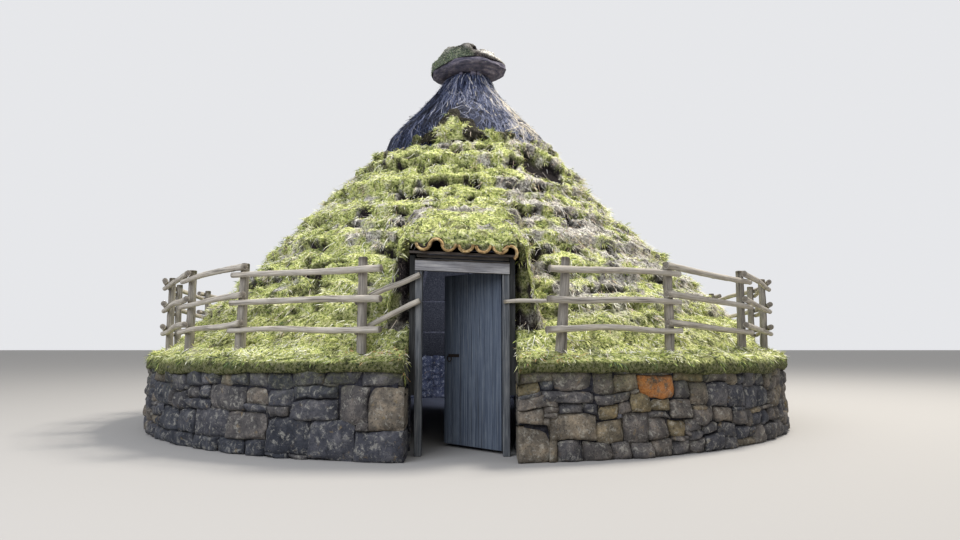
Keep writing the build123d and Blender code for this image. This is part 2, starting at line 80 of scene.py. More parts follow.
def roughNoise(points, size, octaves, seed=0):
    total, weight, strength = 0, 0, 1.0
    for i in range(octaves):
        total = total + smoothNoise(points, size / 2 ** i, seed + i * 17) * strength
        weight += strength
        strength *= 0.55
    return total / weight


def step(low, high, value):
    t = np.clip((value - low) / (high - low), 0, 1)
    return t * t * (3 - 2 * t)


def unit(v):
    return v / np.maximum(np.linalg.norm(v, axis=-1, keepdims=True), 1e-9)


def polar(radius, azimuth, height):
    # azimuth 0 is out of the doorway, and positive towards +X
    a = np.radians(azimuth)
    return np.stack([radius * np.sin(a), -radius * np.cos(a), height + 0 * a], axis=-1)


def azimuthOf(points):
    return np.degrees(np.arctan2(points[:, 0], -points[:, 1]))


def outwardOf(points):
    return unit(points * (1, 1, 0))


def gridFaces(rows, columns, closed=False):
    r = np.arange(rows - 1)[:, None]
    c = np.arange(columns if closed else columns - 1)[None, :]
    n = (c + 1) % columns
    corners = [r * columns + c, r * columns + n, (r + 1) * columns + n, (r + 1) * columns + c]
    return np.stack(corners, -1).reshape(-1, 4)


def meshPiece(name, parts, material, body, smooth=True, replaces=()):
    # parts is a list of (points, faces, {attribute: values}); faces are arrays of 3 or 4 columns
    mesh = bpy.data.meshes.new(name)
    points, loops, totals, offset, fields = [], [], [], 0, {}
    for verts, faces, values in parts:
        for key, value in values.items():
            fields.setdefault(key, []).append(np.asarray(value, np.float32))
        for block in faces if isinstance(faces, list) else [faces]:
            block = np.asarray(block, np.int64)
            loops.append((block + offset).ravel())
            totals.append(np.full(len(block), block.shape[1]))
        points.append(np.asarray(verts, np.float32))
        offset += len(verts)
    points, loops, totals = np.concatenate(points), np.concatenate(loops), np.concatenate(totals)
    starts = np.concatenate([[0], np.cumsum(totals)[:-1]])
    mesh.vertices.add(len(points))
    mesh.vertices.foreach_set("co", points.ravel())
    mesh.loops.add(len(loops))
    mesh.loops.foreach_set("vertex_index", loops)
    mesh.polygons.add(len(totals))
    mesh.polygons.foreach_set("loop_start", starts)
    mesh.polygons.foreach_set("loop_total", totals)
    mesh.polygons.foreach_set("use_smooth", np.full(len(totals), smooth))
    mesh.update(calc_edges=True)
    for key, blocks in fields.items():
        values = np.concatenate(blocks)
        kind, entry = ("FLOAT", "value") if values.ndim == 1 else ("FLOAT_VECTOR", "vector")
        mesh.attributes.new(key, kind, "POINT").data.foreach_set(entry, values.ravel())
    mesh.materials.append(material)
    piece = bpy.data.objects.new(name, mesh)
    bpy.context.scene.collection.objects.link(piece)
    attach(piece, body)
    if replaces:
        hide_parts(*replaces)
    print("made", name, int((totals - 2).sum()), "triangles")


def looseSolids(nodeName):
    # the separate solids of a CAD node, each as an array of points
    bm = bmesh.new()
    bm.from_mesh(cad[nodeName].data)
    bmesh.ops.remove_doubles(bm, verts=bm.verts, dist=1e-5)
    seen, solids = set(), []
    for start in bm.verts:
        if start in seen:
            continue
        seen.add(start)
        stack, found = [start], []
        while stack:
            v = stack.pop()
            found.append(tuple(v.co))
            for edge in v.link_edges:
                other = edge.other_vert(v)
                if other not in seen:
                    seen.add(other)
                    stack.append(other)
        solids.append(np.array(found))
    bm.free()
    return solids


# materials


def setInputs(tree, node, inputs):
    for key, value in inputs.items():
        if isinstance(value, bpy.types.NodeSocket):
            tree.links.new(value, node.inputs[key])
        else:
            node.inputs[key].default_value = value


def addNode(tree, kind, inputs, output=0, stops=(), **settings):
    # adds a node with its settings and links, and gives back one of its outputs
    node = tree.nodes.new("ShaderNode" + kind)
    for key, value in settings.items():
        setattr(node, key, value)
    setInputs(tree, node, inputs)
    for i, (position, hexValue) in enumerate(stops):
        elements = node.color_ramp.elements
        element = elements[i] if i < len(elements) else elements.new(position)
        element.position = position
        element.color = srgb(hexValue)
    return node.outputs[output]


def finish(name, roughness, specular, patterns, colour, relief=(), bump=(0, 0), grain=False, metallic=0.0):
    # patterns are name: (scale per metre, detail, roughness, distortion, stretch), each beside its real size
    # colour is a list of what lies lowest, then layers of (blend, factors that are multiplied, colour)
    # a factor or colour is a number, a hex, a pattern or an attribute, or one of these with colour stops
    material = bpy.data.materials.new(name)
    material.use_nodes = True
    tree = material.node_tree
    shader = tree.nodes["Principled BSDF"]
    if grain:
        here = addNode(tree, "Attribute", {}, "Vector", attribute_name="grain")
    else:
        here = addNode(tree, "TexCoord", {}, "Object")
    made = {}

    def read(part):
        if isinstance(part, float):
            return part
        if isinstance(part, tuple):
            return addNode(tree, "ValToRGB", {"Fac": read(part[0])}, stops=part[1:])
        if isinstance(part, list):
            below = read(part[0])
            for blend, first, *factors, over in part[1:]:
                share = read(first)
                for factor in factors:
                    share = addNode(tree, "Math", {0: share, 1: read(factor)}, operation="MULTIPLY")
                mixed = {0: share, 6: below, 7: read(over)}
                below = addNode(tree, "Mix", mixed, 2, data_type="RGBA", blend_type=blend)
            return below
        if part[0] == "#":
            return srgb(part)
        if part not in made and part in patterns:
            scale, detail, rough, distortion, *stretch = patterns[part]
            place = addNode(tree, "Mapping", {"Vector": here, "Scale": stretch[0]}) if stretch else here
            made[part] = addNode(tree, "TexNoise", {
                "Vector": place, "Scale": scale, "Detail": detail, "Roughness": rough,
                "Distortion": distortion})
        elif part not in made:
            made[part] = addNode(tree, "Attribute", {}, "Fac", attribute_name=part)
        return made[part]

    look = {"Roughness": roughness, "Specular IOR Level": specular, "Metallic": metallic}
    look["Base Color"] = read(colour)
    height = 0.0
    for part, weight in relief:
        height = addNode(tree, "Math", {0: read(part), 1: weight, 2: height}, operation="MULTIPLY_ADD")
    if relief:
        look["Normal"] = addNode(tree, "Bump", {"Height": height, "Strength": bump[0], "Distance": bump[1]})
    setInputs(tree, shader, look)
    return material


none, full = "#000000", "#eeeeee"  # the ends of a mask

# vesicular basalt field stone, split and weathered: dull and pitted, with pale lichen, orange on one stone
stoneMaterial = finish("lavaRubbleWeathered", 0.93, 0.2, {
    "stain": (6.0, 6.0, 0.66, 0.3),  # damp stains about 160 mm
    "grit": (55.0, 5.0, 0.72, 0.0),  # vesicles of 10 mm, drawn 18 mm so that they show
    "crust": (15.0, 8.0, 0.78, 0.5),  # lichen about 65 mm
    "ochre": (9.0, 6.0, 0.7, 0.6),  # iron stains about 110 mm
    "coat": (7.0, 6.0, 0.7, 0.0),  # gaps about 140 mm in the orange lichen
    "lumps": (20.0, 8.0, 0.7, 0.0),  # split faces about 50 mm
}, [
    ("tone", (0.0, "#444751"), (0.25, "#5c6069"), (0.42, "#6c6e77"), (0.55, "#7a7879"),
     (0.66, "#88827d"), (0.78, "#9d9383"), (0.88, "#a59776"), (1.0, "#85796a")),
    ("OVERLAY", 0.85, ("stain", (0.3, "#2d2f36"), (0.5, "#6e6d6d"), (0.7, "#b4aea5"))),
    ("MIX", ("grit", (0.38, full), (0.47, none)), 0.7, "#232326"),
    ("MIX", ("crust", (0.53, none), (0.62, full)), 0.6, "#b0ada2"),
    ("MIX", ("ochre", (0.6, none), (0.68, full)), 0.35, "#9d8557"),
    ("MIX", ("tone", (0.93, none), (0.98, full)), ("coat", (0.38, none), (0.52, full)),
     ("grit", (0.3, "#8f4d1e"), (0.6, "#c78443"))),
    # dark olive moss towards the wall's top, darker there as painted shade under the turf's rim
    ("MIX", "moss", ("crust", (0.4, none), (0.55, full)), ("grit", (0.35, "#2b2d1e"), (0.65, "#5f613a"))),
], [("grit", 0.35), ("lumps", 1.0)], (0.9, 0.02))

# soil and chips packed between the stones: near black in the joints
heartingMaterial = finish("soilAndChipsInJoints", 1.0, 0.1, {
    "soil": (24.0, 5.0, 0.7, 0.0),  # clods about 40 mm
    "chips": (40.0, 4.0, 0.6, 0.0),  # chips about 25 mm
}, [("soil", (0.35, "#1c1c20"), (0.6, "#34343a"), (0.8, "#55544f"))], [("chips", 1.0)], (0.9, 0.02))

# cut pasture sods: a short bright nap, straw where it has died, black root-bound soil where it is torn, and
# painted shade where the shade attribute is high
sodMaterial = finish("pastureSodRootBound", 1.0, 0.1, {
    "speckle": (34.0, 7.0, 0.8, 0.0),  # tufts and root ends about 30 mm
}, [
    ("speckle", (0.38, "#1b181a"), (0.52, "#363031"), (0.62, "#6d645f"), (0.74, "#c2b9af")),
    # painted shade: the soil is darkened where the shade attribute is high
    ("MIX", "shade", 0.8, "#1a1718"),
    ("MIX", "lush", [
        ("speckle", (0.36, "#252f27"), (0.43, "#6b7c46"), (0.48, "#bcc870"), (0.54, "#eef09c"),
         (0.61, "#fffed2")),
        ("MIX", "dry",
         ("speckle", (0.36, "#3d393a"), (0.44, "#8f8985"), (0.51, "#cfcac0"), (0.6, "#faf7ec"))),
        # painted shade: the nap is darkened where the shade attribute is high
        ("MIX", "shade", 0.85, "#2a2a24"),
    ]),
], [("speckle", 1.0)], (1.0, 0.04))

# living and dead pasture grass: thin dull leaves, with painted shade at the root where they crowd
leafColours = (
    "hue", (0.0, "#2b372d"), (0.16, "#667c4a"), (0.32, "#bccb6c"), (0.5, "#f4f69f"), (0.68, "#fffedd"),
    (0.77, "#fbf8ec"), (0.85, "#d3a570"), (0.92, "#e6e2dc"), (1.0, "#a59e98"))
# painted shade: each leaf is darker towards its root
leafMaterial = finish("pastureGrassLeaf", 0.75, 0.2, {}, [
    [leafColours, ("MIX", 0.7, "#2a2f22")], ("MIX", "along", leafColours)])

# rye straw, years in the weather: silvery lilac grey with dark gaps
thatchMaterial = finish("ryeStrawWeathered", 0.82, 0.25, {
    "fibre": (120.0, 4.0, 0.7, 0.0, (1.0, 1.0, 0.12)),  # stalks about 8 mm
}, [
    ("tone", (0.0, "#171a24"), (0.2, "#2c3247"), (0.42, "#4d5673"), (0.62, "#747c98"), (0.82, "#aaadbb"),
     (1.0, "#e6dfce")),
    ("OVERLAY", 0.4, ("fibre", (0.3, "#3b3b44"), (0.7, "#ababb1"))),
], [("fibre", 1.0)], (0.5, 0.006))

# rough split trachyte slab: purplish grey-brown, rain-streaked along its bedding
slabMaterial = finish("trachyteSplitSlab", 0.9, 0.2, {
    "bedding": (7.0, 7.0, 0.7, 0.0, (1.0, 1.0, 5.0)),  # beds about 30 mm
    "spots": (14.0, 5.0, 0.7, 0.0),  # lichen about 70 mm
    "split": (30.0, 6.0, 0.7, 0.0),  # chipped faces about 30 mm
}, [
    ("bedding", (0.3, "#33333d"), (0.45, "#545260"), (0.58, "#746e79"), (0.72, "#a6a0a4")),
    ("MIX", ("spots", (0.55, none), (0.7, "#f9f9f9")), 0.5, "#383d34"),
], [("split", 1.0)], (0.8, 0.014))

# old sods on the capstone: black peaty soil, pale crust on the torn rims and upper ridges, partly painted
# highlight, dark moss on the shaded side
mossMaterial = finish("peatySodMossed", 1.0, 0.1, {
    "speckle": (34.0, 6.0, 0.74, 0.0),  # root ends and moss cushions about 30 mm
}, [
    ("speckle", (0.36, "#141215"), (0.5, "#2e2a2c"), (0.62, "#615b58"), (0.74, "#b1aba3")),
    ("MIX", "lush", ("speckle", (0.36, "#29322c"), (0.5, "#5a6556"), (0.62, "#91977d"), (0.76, "#c9cdaa"))),
    # pale crust, partly a painted highlight on the upper ridges and rims
    ("MIX", "crust", ("speckle", (0.36, "#a59e92"), (0.5, "#e6e2d8"), (0.62, "#fbf9f2"))),
], [("speckle", 1.0)], (1.0, 0.03))

# dry broom and twigs packed under the sods, smoked dark inside
brushMaterial = finish("broomBrushSmoked", 0.95, 0.15, {
    "twigs": (60.0, 5.0, 0.7, 0.6, (1.0, 1.0, 0.2)),  # twigs about 15 mm
}, [("twigs", (0.3, "#141414"), (0.5, "#2b2a28"), (0.65, "#47443f"), (0.8, "#68635b"))],
    [("twigs", 1.0)], (1.0, 0.02))

# hand-made roof tile: sandy brown terracotta, ochre on the worn rims, with grey lichen
clayMaterial = finish("terracottaHandmade", 0.88, 0.25, {
    "blotch": (26.0, 5.0, 0.65, 0.0),  # firing blotches about 40 mm
    "lichen": (48.0, 5.0, 0.7, 0.0),  # lichen about 20 mm
    "sand": (150.0, 4.0, 0.6, 0.0),  # moulding sand, drawn 7 mm so that it shows
}, [
    ("tone", (0.0, "#574030"), (0.5, "#7b5b43"), (1.0, "#9a7653")),
    ("OVERLAY", 0.8, ("blotch", (0.3, "#37322e"), (0.7, "#beb29f"))),
    ("MIX", ("lichen", (0.56, none), (0.62, "#f1f1f1")), 0.6, "#5c574d"),
    ("MIX", "rim", 0.85, ("blotch", (0.35, "#8d6f4a"), (0.5, "#c4a470"), (0.65, "#e2ce9f"))),
], [("sand", 1.0)], (0.5, 0.003))

# hand-forged strap and pin, rusted dark brown
ironMaterial = finish("wroughtIronRusted", 0.72, 0.4, {
    "rust": (90.0, 5.0, 0.7, 0.0),  # scale about 11 mm
}, [("rust", (0.3, "#1d1a19"), (0.55, "#37302c"), (0.75, "#5c4030"))],
    [("rust", 1.0)], (0.5, 0.002), metallic=0.55)


def timber(name, roughness, across, along, *stops):
    # weathered wood: silvered grain along the piece, bleached stretches, dark checks and sawn ends
    checks = ("checks", (0.33, "#ffffff"), (0.4, "#000000"))
    return finish(name, roughness, 0.25, {
        "fibre": (1.0, 6.0, 0.68, 0.35, (across, across, along)),  # growth rings, 1000 / across mm
        "weather": (5.0, 4.0, 0.6, 0.0),  # stretches about 200 mm
        "checks": (1.0, 3.0, 0.5, 0.0, (across * 0.5, across * 0.5, along * 0.45)),
    }, [
        ("fibre", *stops),
        ("OVERLAY", "weather", 0.55, ("weather", (0.35, "#3d3a38"), (0.65, "#b3ada4"))),
        ("MIX", checks, 0.5, "#231f1c"),
        ("MIX", "cut", 0.65, "#3a3029"),
    ], [("fibre", 1.0), (checks, -0.8)], (0.6, 0.005), grain=True)


fenceWood = timber("chestnutPoleSilvered", 0.8, 70.0, 3.5,
                   (0.25, "#766e66"), (0.42, "#a19a90"), (0.58, "#beb9ae"), (0.78, "#d9d6cd"))
# the posts' wood is a darker copy of the rails' wood: painted shade
postWoodShaded = timber("chestnutPostSilveredShaded", 0.85, 60.0, 3.5,
                  (0.25, "#534f4a"), (0.42, "#7b766f"), (0.58, "#9a958c"), (0.78, "#c2bdb2"))
frameWood = timber("oakBeamWeathered", 0.85, 60.0, 2.5,
                   (0.25, "#33363a"), (0.45, "#52565b"), (0.6, "#6e7174"), (0.8, "#969593"))
lintelWood = timber("oakLintelBleached", 0.85, 60.0, 2.5,
                    (0.25, "#4c4b4c"), (0.45, "#828286"), (0.6, "#a3a3a4"), (0.8, "#c9c7c3"))
darkWood = timber("oakBoardDamp", 0.9, 60.0, 2.5,
                  (0.25, "#292726"), (0.45, "#4a4642"), (0.6, "#69645e"), (0.8, "#8f8a82"))
doorWood = timber("chestnutPlankBlueGrey", 0.78, 90.0, 1.6,
                  (0.25, "#37404d"), (0.45, "#515b6b"), (0.6, "#6b7582"), (0.8, "#939696"))
print("materials ready")

# ring wall

wallSizes = {
    "outer": 4.62, "batter": 0.04, "inner": 3.72, "top": 0.85, "reveal": 0.5375, "sill": -4.56,
    "unrolled": 4.6,  # the radius at which the outer face is laid out flat
    "joint": -0.012,  # the stones' corners are chipped, so their boxes lap a little
    # the stones inside the hut and on the doorway's reveals are laid darker: painted shade
    "core": 0.085, "bulge": 0.020, "innerShadeTone": 0.55, "revealShadeTone": 0.8, "rightTone": 0.18,
    "depth": 0.12, "cornerDepth": 0.40, "inViewGrid": 0.026, "behindGrid": 0.038,
}

# the stones that show best beside the doorway: from azimuth, to azimuth, low, high, tone
frontStones = [
    (-46.8, -42.9, 0.60, 0.79, 0.45), (-42.7, -38.4, 0.66, 0.82, 0.35), (-38.3, -34.7, 0.67, 0.82, 0.42),
    (-34.5, -32.1, 0.67, 0.83, 0.78), (-32.0, -28.9, 0.69, 0.84, 0.40), (-28.8, -25.5, 0.68, 0.86, 0.45),
    (-25.3, -21.8, 0.67, 0.86, 0.30), (-21.6, -17.3, 0.69, 0.88, 0.45), (-17.2, -12.4, 0.71, 0.89, 0.50),
    (-12.2, -6.6, 0.72, 0.92, 0.50), (-46.6, -42.3, 0.41, 0.59, 0.50), (-42.0, -39.4, 0.52, 0.65, 0.55),
    (-41.8, -36.6, 0.41, 0.51, 0.35), (-39.2, -36.6, 0.53, 0.66, 0.38), (-36.4, -29.1, 0.44, 0.67, 0.56),
    (-29.0, -25.5, 0.50, 0.67, 0.70), (-25.3, -21.7, 0.51, 0.66, 0.40), (-21.5, -15.4, 0.56, 0.69, 0.35),
    (-15.1, -11.3, 0.34, 0.70, 0.60), (-11.1, -6.6, 0.29, 0.71, 0.76), (-55.6, -50.9, 0.42, 0.68, 0.30),
    (-50.7, -47.0, 0.42, 0.66, 0.25), (-50.8, -45.0, 0.14, 0.40, 0.25), (-44.8, -39.7, 0.14, 0.40, 0.30),
    (-39.3, -32.4, 0.15, 0.43, 0.45), (-32.2, -25.7, 0.16, 0.44, 0.60), (-25.6, -22.4, 0.40, 0.50, 0.55),
    (-22.1, -15.4, 0.37, 0.55, 0.45), (-46.8, -40.2, 0.0, 0.13, 0.20), (-40.0, -34.3, 0.0, 0.14, 0.30),
    (-33.9, -29.2, 0.0, 0.15, 0.25), (-29.0, -25.6, 0.0, 0.15, 0.30), (-25.5, -19.1, 0.04, 0.38, 0.12),
    (-18.9, -13.1, 0.0, 0.35, 0.42), (-12.9, -11.1, 0.29, 0.36, 0.65), (-12.9, -6.6, 0.0, 0.28, 0.42),
    (6.6, 10.9, 0.75, 0.89, 0.50), (11.0, 16.3, 0.65, 0.83, 0.45), (16.4, 19.1, 0.63, 0.84, 0.50),
    (19.2, 22.7, 0.63, 0.82, 0.62), (22.9, 28.3, 0.57, 0.80, 1.00), (28.5, 31.0, 0.56, 0.73, 0.40),
    (31.1, 34.4, 0.48, 0.72, 0.55), (34.5, 38.6, 0.45, 0.70, 0.30), (38.7, 43.3, 0.43, 0.68, 0.24),
    (43.5, 47.2, 0.40, 0.63, 0.20), (47.3, 51.0, 0.40, 0.62, 0.15), (6.6, 9.4, 0.63, 0.74, 0.70),
    (9.5, 16.3, 0.54, 0.64, 0.36), (16.5, 21.7, 0.54, 0.62, 0.40), (21.8, 24.7, 0.44, 0.61, 0.70),
    (24.9, 27.6, 0.45, 0.56, 0.86), (27.7, 31.2, 0.37, 0.55, 0.50), (31.4, 35.8, 0.29, 0.45, 0.45),
    (35.9, 40.0, 0.28, 0.43, 0.52), (40.2, 44.3, 0.25, 0.41, 0.40), (6.6, 11.7, 0.50, 0.61, 0.50),
    (11.8, 15.0, 0.44, 0.53, 0.36), (15.1, 16.7, 0.45, 0.53, 0.30), (16.9, 19.8, 0.40, 0.52, 0.72),
    (19.9, 21.6, 0.44, 0.53, 0.50), (23.9, 27.4, 0.37, 0.44, 0.40), (44.6, 48.2, 0.21, 0.36, 0.24),
    (48.4, 51.4, 0.20, 0.36, 0.18), (6.6, 9.9, 0.34, 0.49, 0.55), (10.0, 11.6, 0.39, 0.45, 0.50),
    (10.8, 16.5, 0.19, 0.43, 0.60), (16.6, 20.3, 0.18, 0.39, 0.64), (20.4, 23.8, 0.16, 0.43, 0.46),
    (24.0, 26.9, 0.18, 0.36, 0.48), (27.0, 29.9, 0.19, 0.35, 0.74), (30.0, 33.2, 0.23, 0.36, 0.40),
    (33.3, 35.9, 0.18, 0.28, 0.36), (36.1, 40.3, 0.11, 0.26, 0.30), (40.4, 44.2, 0.07, 0.22, 0.25),
    (6.6, 10.5, 0.0, 0.32, 0.60), (10.6, 11.9, 0.19, 0.29, 0.62), (11.6, 14.8, 0.0, 0.18, 0.36),
    (14.9, 18.7, 0.0, 0.17, 0.46), (18.8, 21.3, 0.0, 0.17, 0.42), (21.4, 24.3, 0.0, 0.15, 0.42),
    (24.4, 27.1, 0.0, 0.17, 0.50), (27.2, 30.4, 0.0, 0.16, 0.36), (30.6, 33.3, 0.0, 0.14, 0.42),
    (33.4, 37.1, 0.0, 0.16, 0.28),
]


def layRubble(length, height, placed, widths, heights, rng, cell=0.02):
    # fills what the placed stones leave free, stone by stone from the ground up: (x0, x1, z0, z1, tone)
    columns, rows = int(length / cell), int(height / cell)
    taken = np.zeros((rows, columns), bool)
    stones = list(placed)
    for x0, x1, z0, z1, tone in placed:
        taken[max(0, round(z0 / cell)):round(z1 / cell), max(0, round(x0 / cell)):round(x1 / cell)] = True
    for row in range(rows):
        column = 0
        while column < columns:
            if taken[row, column]:
                column += 1
                continue
            wide, tall = int(rng.uniform(*widths) / cell), int(rng.uniform(*heights) / cell)
            # a stone takes up what is left at the end of its course and at the wall's top
            right, top = column, row
            while right < columns and not taken[row, right] and \
                    (right - column < wide or columns - right < 4):
                right += 1
            while top < rows and not taken[top, column:right].any() and \
                    (top - row < tall or rows - top < 4):
                top += 1
            taken[row:top, column:right] = True
            if right - column >= 2 and top - row >= 2:
                tone = float(np.clip(rng.normal(0.44, 0.14), 0.08, 0.8))
                stones.append((column * cell, right * cell, row * cell, top * cell, tone))
            column = right
    return [stone for stone in stones if stone[4] is not None]


def stoneBlock(box, mapping, rng, depth, density, seed):
    # one split field stone: a flat, broken face with chipped corners, standing a little out of the wall
    x0, x1, z0, z1 = box
    wide, tall = x1 - x0, z1 - z0
    n = int(np.clip(round(max(wide, tall) / density), 4, 13))
    line = np.linspace(-1, 1, n + 1)
    line = np.sign(line) * np.abs(line) ** 0.8
    q, p = np.meshgrid(line, line, indexing="ij")
    rounded = rng.uniform(0.0, 0.14)
    x = p * np.sqrt(1 - q * q * rounded / 2)
    z = q * np.sqrt(1 - p * p * rounded / 2)
    for sx, sz in ((-1, -1), (1, -1), (1, 1), (-1, 1)):
        weight = (1 + sx * p) * (1 + sz * q) / 4
        chip = 2.2 if rng.random() < 0.2 else 1.0
        x = x - weight * sx * rng.uniform(-0.04, 0.06) * chip
        z = z - weight * sz * rng.uniform(-0.04, 0.08) * chip
    edge = np.maximum(np.abs(p), np.abs(q))
    face = wallSizes["bulge"] * rng.uniform(-0.3, 1.5)
    out = face + 0.014 * (p * rng.uniform(-1, 1) + q * rng.uniform(-1, 1))
    for _ in range(4):
        turn, reach, fall = rng.uniform(0, 2 * math.pi), rng.uniform(0.1, 0.75), rng.uniform(0.02, 0.075)
        out = np.minimum(out, face + fall * (reach - p * math.cos(turn) - q * math.sin(turn)))
    out = out - 0.022 * edge ** 16 - 0.006 * edge ** 4
    gap = wallSizes["joint"] * rng.uniform(0.3, 1.4)
    u = (x0 + x1) / 2 + x * (wide / 2 - gap / 2)
    v = (z0 + z1) / 2 + z * (tall / 2 - gap / 2)
    index = np.arange((n + 1) ** 2).reshape(n + 1, n + 1)
    rim = np.concatenate([index[0, :-1], index[:-1, -1], index[-1, :0:-1], index[:0:-1, 0]])
    points = np.stack([u.ravel(), v.ravel(), out.ravel()], -1)
    faces = [gridFaces(n + 1, n + 1)]
    last = rim
    centre = np.array([(x0 + x1) / 2, (z0 + z1) / 2])
    for i, back in enumerate((-0.045, -depth)):
        ring = points[rim].copy()
        ring[:, :2] += (ring[:, :2] - centre) * (0.01 if i == 0 else -0.12)
        ring[:, 2] = back
        now = np.arange(len(rim)) + len(points)
        points = np.concatenate([points, ring])
        faces.append(np.stack([last, now, np.roll(now, -1), np.roll(last, -1)], -1))
        last = now
    world = mapping(points)
    amount = np.ones(len(points))
    amount[-len(rim):] = 0
    chips = roughNoise(world, 0.13, 4, seed) * 0.020 + smoothNoise(world, 0.035, seed + 5) * 0.004
    points[:, 2] += chips * amount
    # one warp for all, so that neighbours still fit
    points[:, 0] += roughNoise(world, 0.12, 3, 9) * 0.016 * amount
    points[:, 1] += roughNoise(world, 0.12, 3, 13) * 0.016 * amount
    return points, faces


def strayed(points):
    # beds and joints wander together, so that neighbours still fit
    flat = points * (1, 1, 0)
    moved = points.copy()
    moved[:, 0] += 0.020 * smoothNoise(flat, 0.26, 81)
    moved[:, 1] += 0.022 * smoothNoise(flat, 0.30, 82) * step(0.0, 0.15, points[:, 1])
    return moved


def outerFace(points):
    # along the wall's outer face from its back, up it, and out of it
    points = strayed(points)
    azimuth = np.degrees(points[:, 0] / wallSizes["unrolled"]) - 180.0
    radius = wallSizes["outer"] - wallSizes["batter"] * points[:, 1] / wallSizes["top"] - 0.03 + points[:, 2]
    return polar(radius, azimuth, points[:, 1])


def innerFace(points):
    points = strayed(points)
    azimuth = np.degrees(points[:, 0] / wallSizes["inner"]) - 180.0
    return polar(wallSizes["inner"] + 0.015 - points[:, 2], azimuth, points[:, 1])


def revealFace(side):
    def mapping(points):
        x = side * (wallSizes["reveal"] + 0.03 - np.minimum(points[:, 2], 0.03))
        return np.stack([x, wallSizes["sill"] + points[:, 0], points[:, 1]], -1)
    return mapping


def clearDoorway(world):
    # nothing reaches into the doorway's clear width
    front = (world[:, 1] < -3.0) & (np.abs(world[:, 0]) < wallSizes["reveal"])
    side = np.where(world[:, 0] < 0, -1, 1)
    world[:, 0] = np.where(front, side * wallSizes["reveal"], world[:, 0])
    world[:, 2] = np.maximum(world[:, 2], 0.0)
    return world


def buildWall():
    rng = np.random.default_rng(7)
    unrolled, reveal = wallSizes["unrolled"], wallSizes["reveal"]
    edge = math.degrees(math.asin(reveal / unrolled))
    length = 2 * math.pi * unrolled

    def toU(azimuth):
        turn = azimuth % 360
        return math.radians(turn + 180 if turn < 180 else turn - 180) * unrolled

    doorway = [(toU(-edge), toU(edge) + 1e-6, 0.0, 1.2, None)]
    placed = [(toU(a), toU(b), low, high, tone) for a, b, low, high, tone in frontStones]
    halves = {"left": [], "right": []}
    seed = 100
    for x0, x1, z0, z1, tone in layRubble(length, 0.88, placed + doorway, (0.17, 0.44), (0.11, 0.24), rng):
        seed += 3
        nearDoor = min(abs(x0 - toU(edge)), abs(x1 - toU(-edge))) < 0.12
        middle = (x0 + x1) / 2
        inView = abs(middle - length / 2) > length / 2 - 5.2
        box = (x0, x1, z0, z1 + (0.01 if z1 > 0.8 else 0))
        depth = wallSizes["cornerDepth" if nearDoor else "depth"]
        density = wallSizes["inViewGrid" if inView else "behindGrid"]
        points, faces = stoneBlock(box, outerFace, rng, depth, density, seed)
        world = clearDoorway(outerFace(points))
        # moss towards the wall's top, partly painted shade under the turf's rim
        moss = step(0.60, 0.95, world[:, 2] + 0.12 * smoothNoise(world, 0.3, 3)) * 0.9
        onRight = middle > length / 2
        if tone <= 0.95:  # above that lies the stone with orange lichen
            tone = min(tone + wallSizes["rightTone"] * onRight, 0.9)
        part = (world, faces, {"tone": np.full(len(world), tone), "moss": moss})
        halves["right" if onRight else "left"].append(part)
    # the reveals and the inner face: mapping, layout, where the left half ends, density, tone, turned round
    half = math.pi * wallSizes["inner"]
    gap = math.asin(reveal / wallSizes["inner"]) * wallSizes["inner"]
    doorCorner = [(0.0, 0.26, 0.0, 0.88, None)]
    revealLayout = (0.86, 0.86, doorCorner, (0.2, 0.42), (0.14, 0.26))
    innerLayout = (2 * half, 0.86, [(half - gap, half + gap, 0.0, 1.0, None)], (0.26, 0.5), (0.16, 0.28))
    insides = [
        (revealFace(-1), revealLayout, length, 0.05, wallSizes["revealShadeTone"], False),
        (revealFace(1), revealLayout, -length, 0.05, wallSizes["revealShadeTone"], True),
        (innerFace, innerLayout, half, 0.10, wallSizes["innerShadeTone"], True)]
    for mapping, layout, leftEnd, density, darker, turned in insides:
        for x0, x1, z0, z1, tone in layRubble(*layout, rng):
            seed += 3
            points, faces = stoneBlock((x0, x1, z0, z1), mapping, rng, 0.1, density, seed)
            faces = [f[:, ::-1] for f in faces] if turned else faces
            world = clearDoorway(mapping(points))
            # painted shade: the stones inside the hut and on the reveals are laid darker
            fields = {"tone": np.full(len(world), tone * darker), "moss": np.zeros(len(world))}
            halves["left" if (x0 + x1) / 2 < leftEnd else "right"].append((world, faces, fields))
    for side, parts in halves.items():
        nodes = [f"wall_{side}_{i}" for i in range(1, 6)]
        meshPiece(f"rubble_wall_{side}", parts, stoneMaterial, "hut", replaces=nodes)
    # the core behind the stones, closed at both reveals
    azimuths = np.linspace(edge + 0.5, 360 - edge - 0.5, 181)
    outer, inward = wallSizes["outer"] - 0.02 - wallSizes["core"], wallSizes["inner"] + wallSizes["core"]
    section = [(outer, 0.0), (outer, 0.845), (inward, 0.845), (inward, 0.0), (outer, 0.0)]
    core = clearDoorway(np.concatenate([polar(r, azimuths, z) for r, z in section]))
    doorSide = (core[:, 1] < -3) & (np.abs(core[:, 0]) < reveal + 0.08)
    core[:, 0] = np.where(doorSide, np.sign(core[:, 0]) * (reveal + 0.06), core[:, 0])
    part = (core, gridFaces(5, 181), {})
    meshPiece("wall_core", [part], heartingMaterial, "hut", smooth=False)


buildWall()

# turf

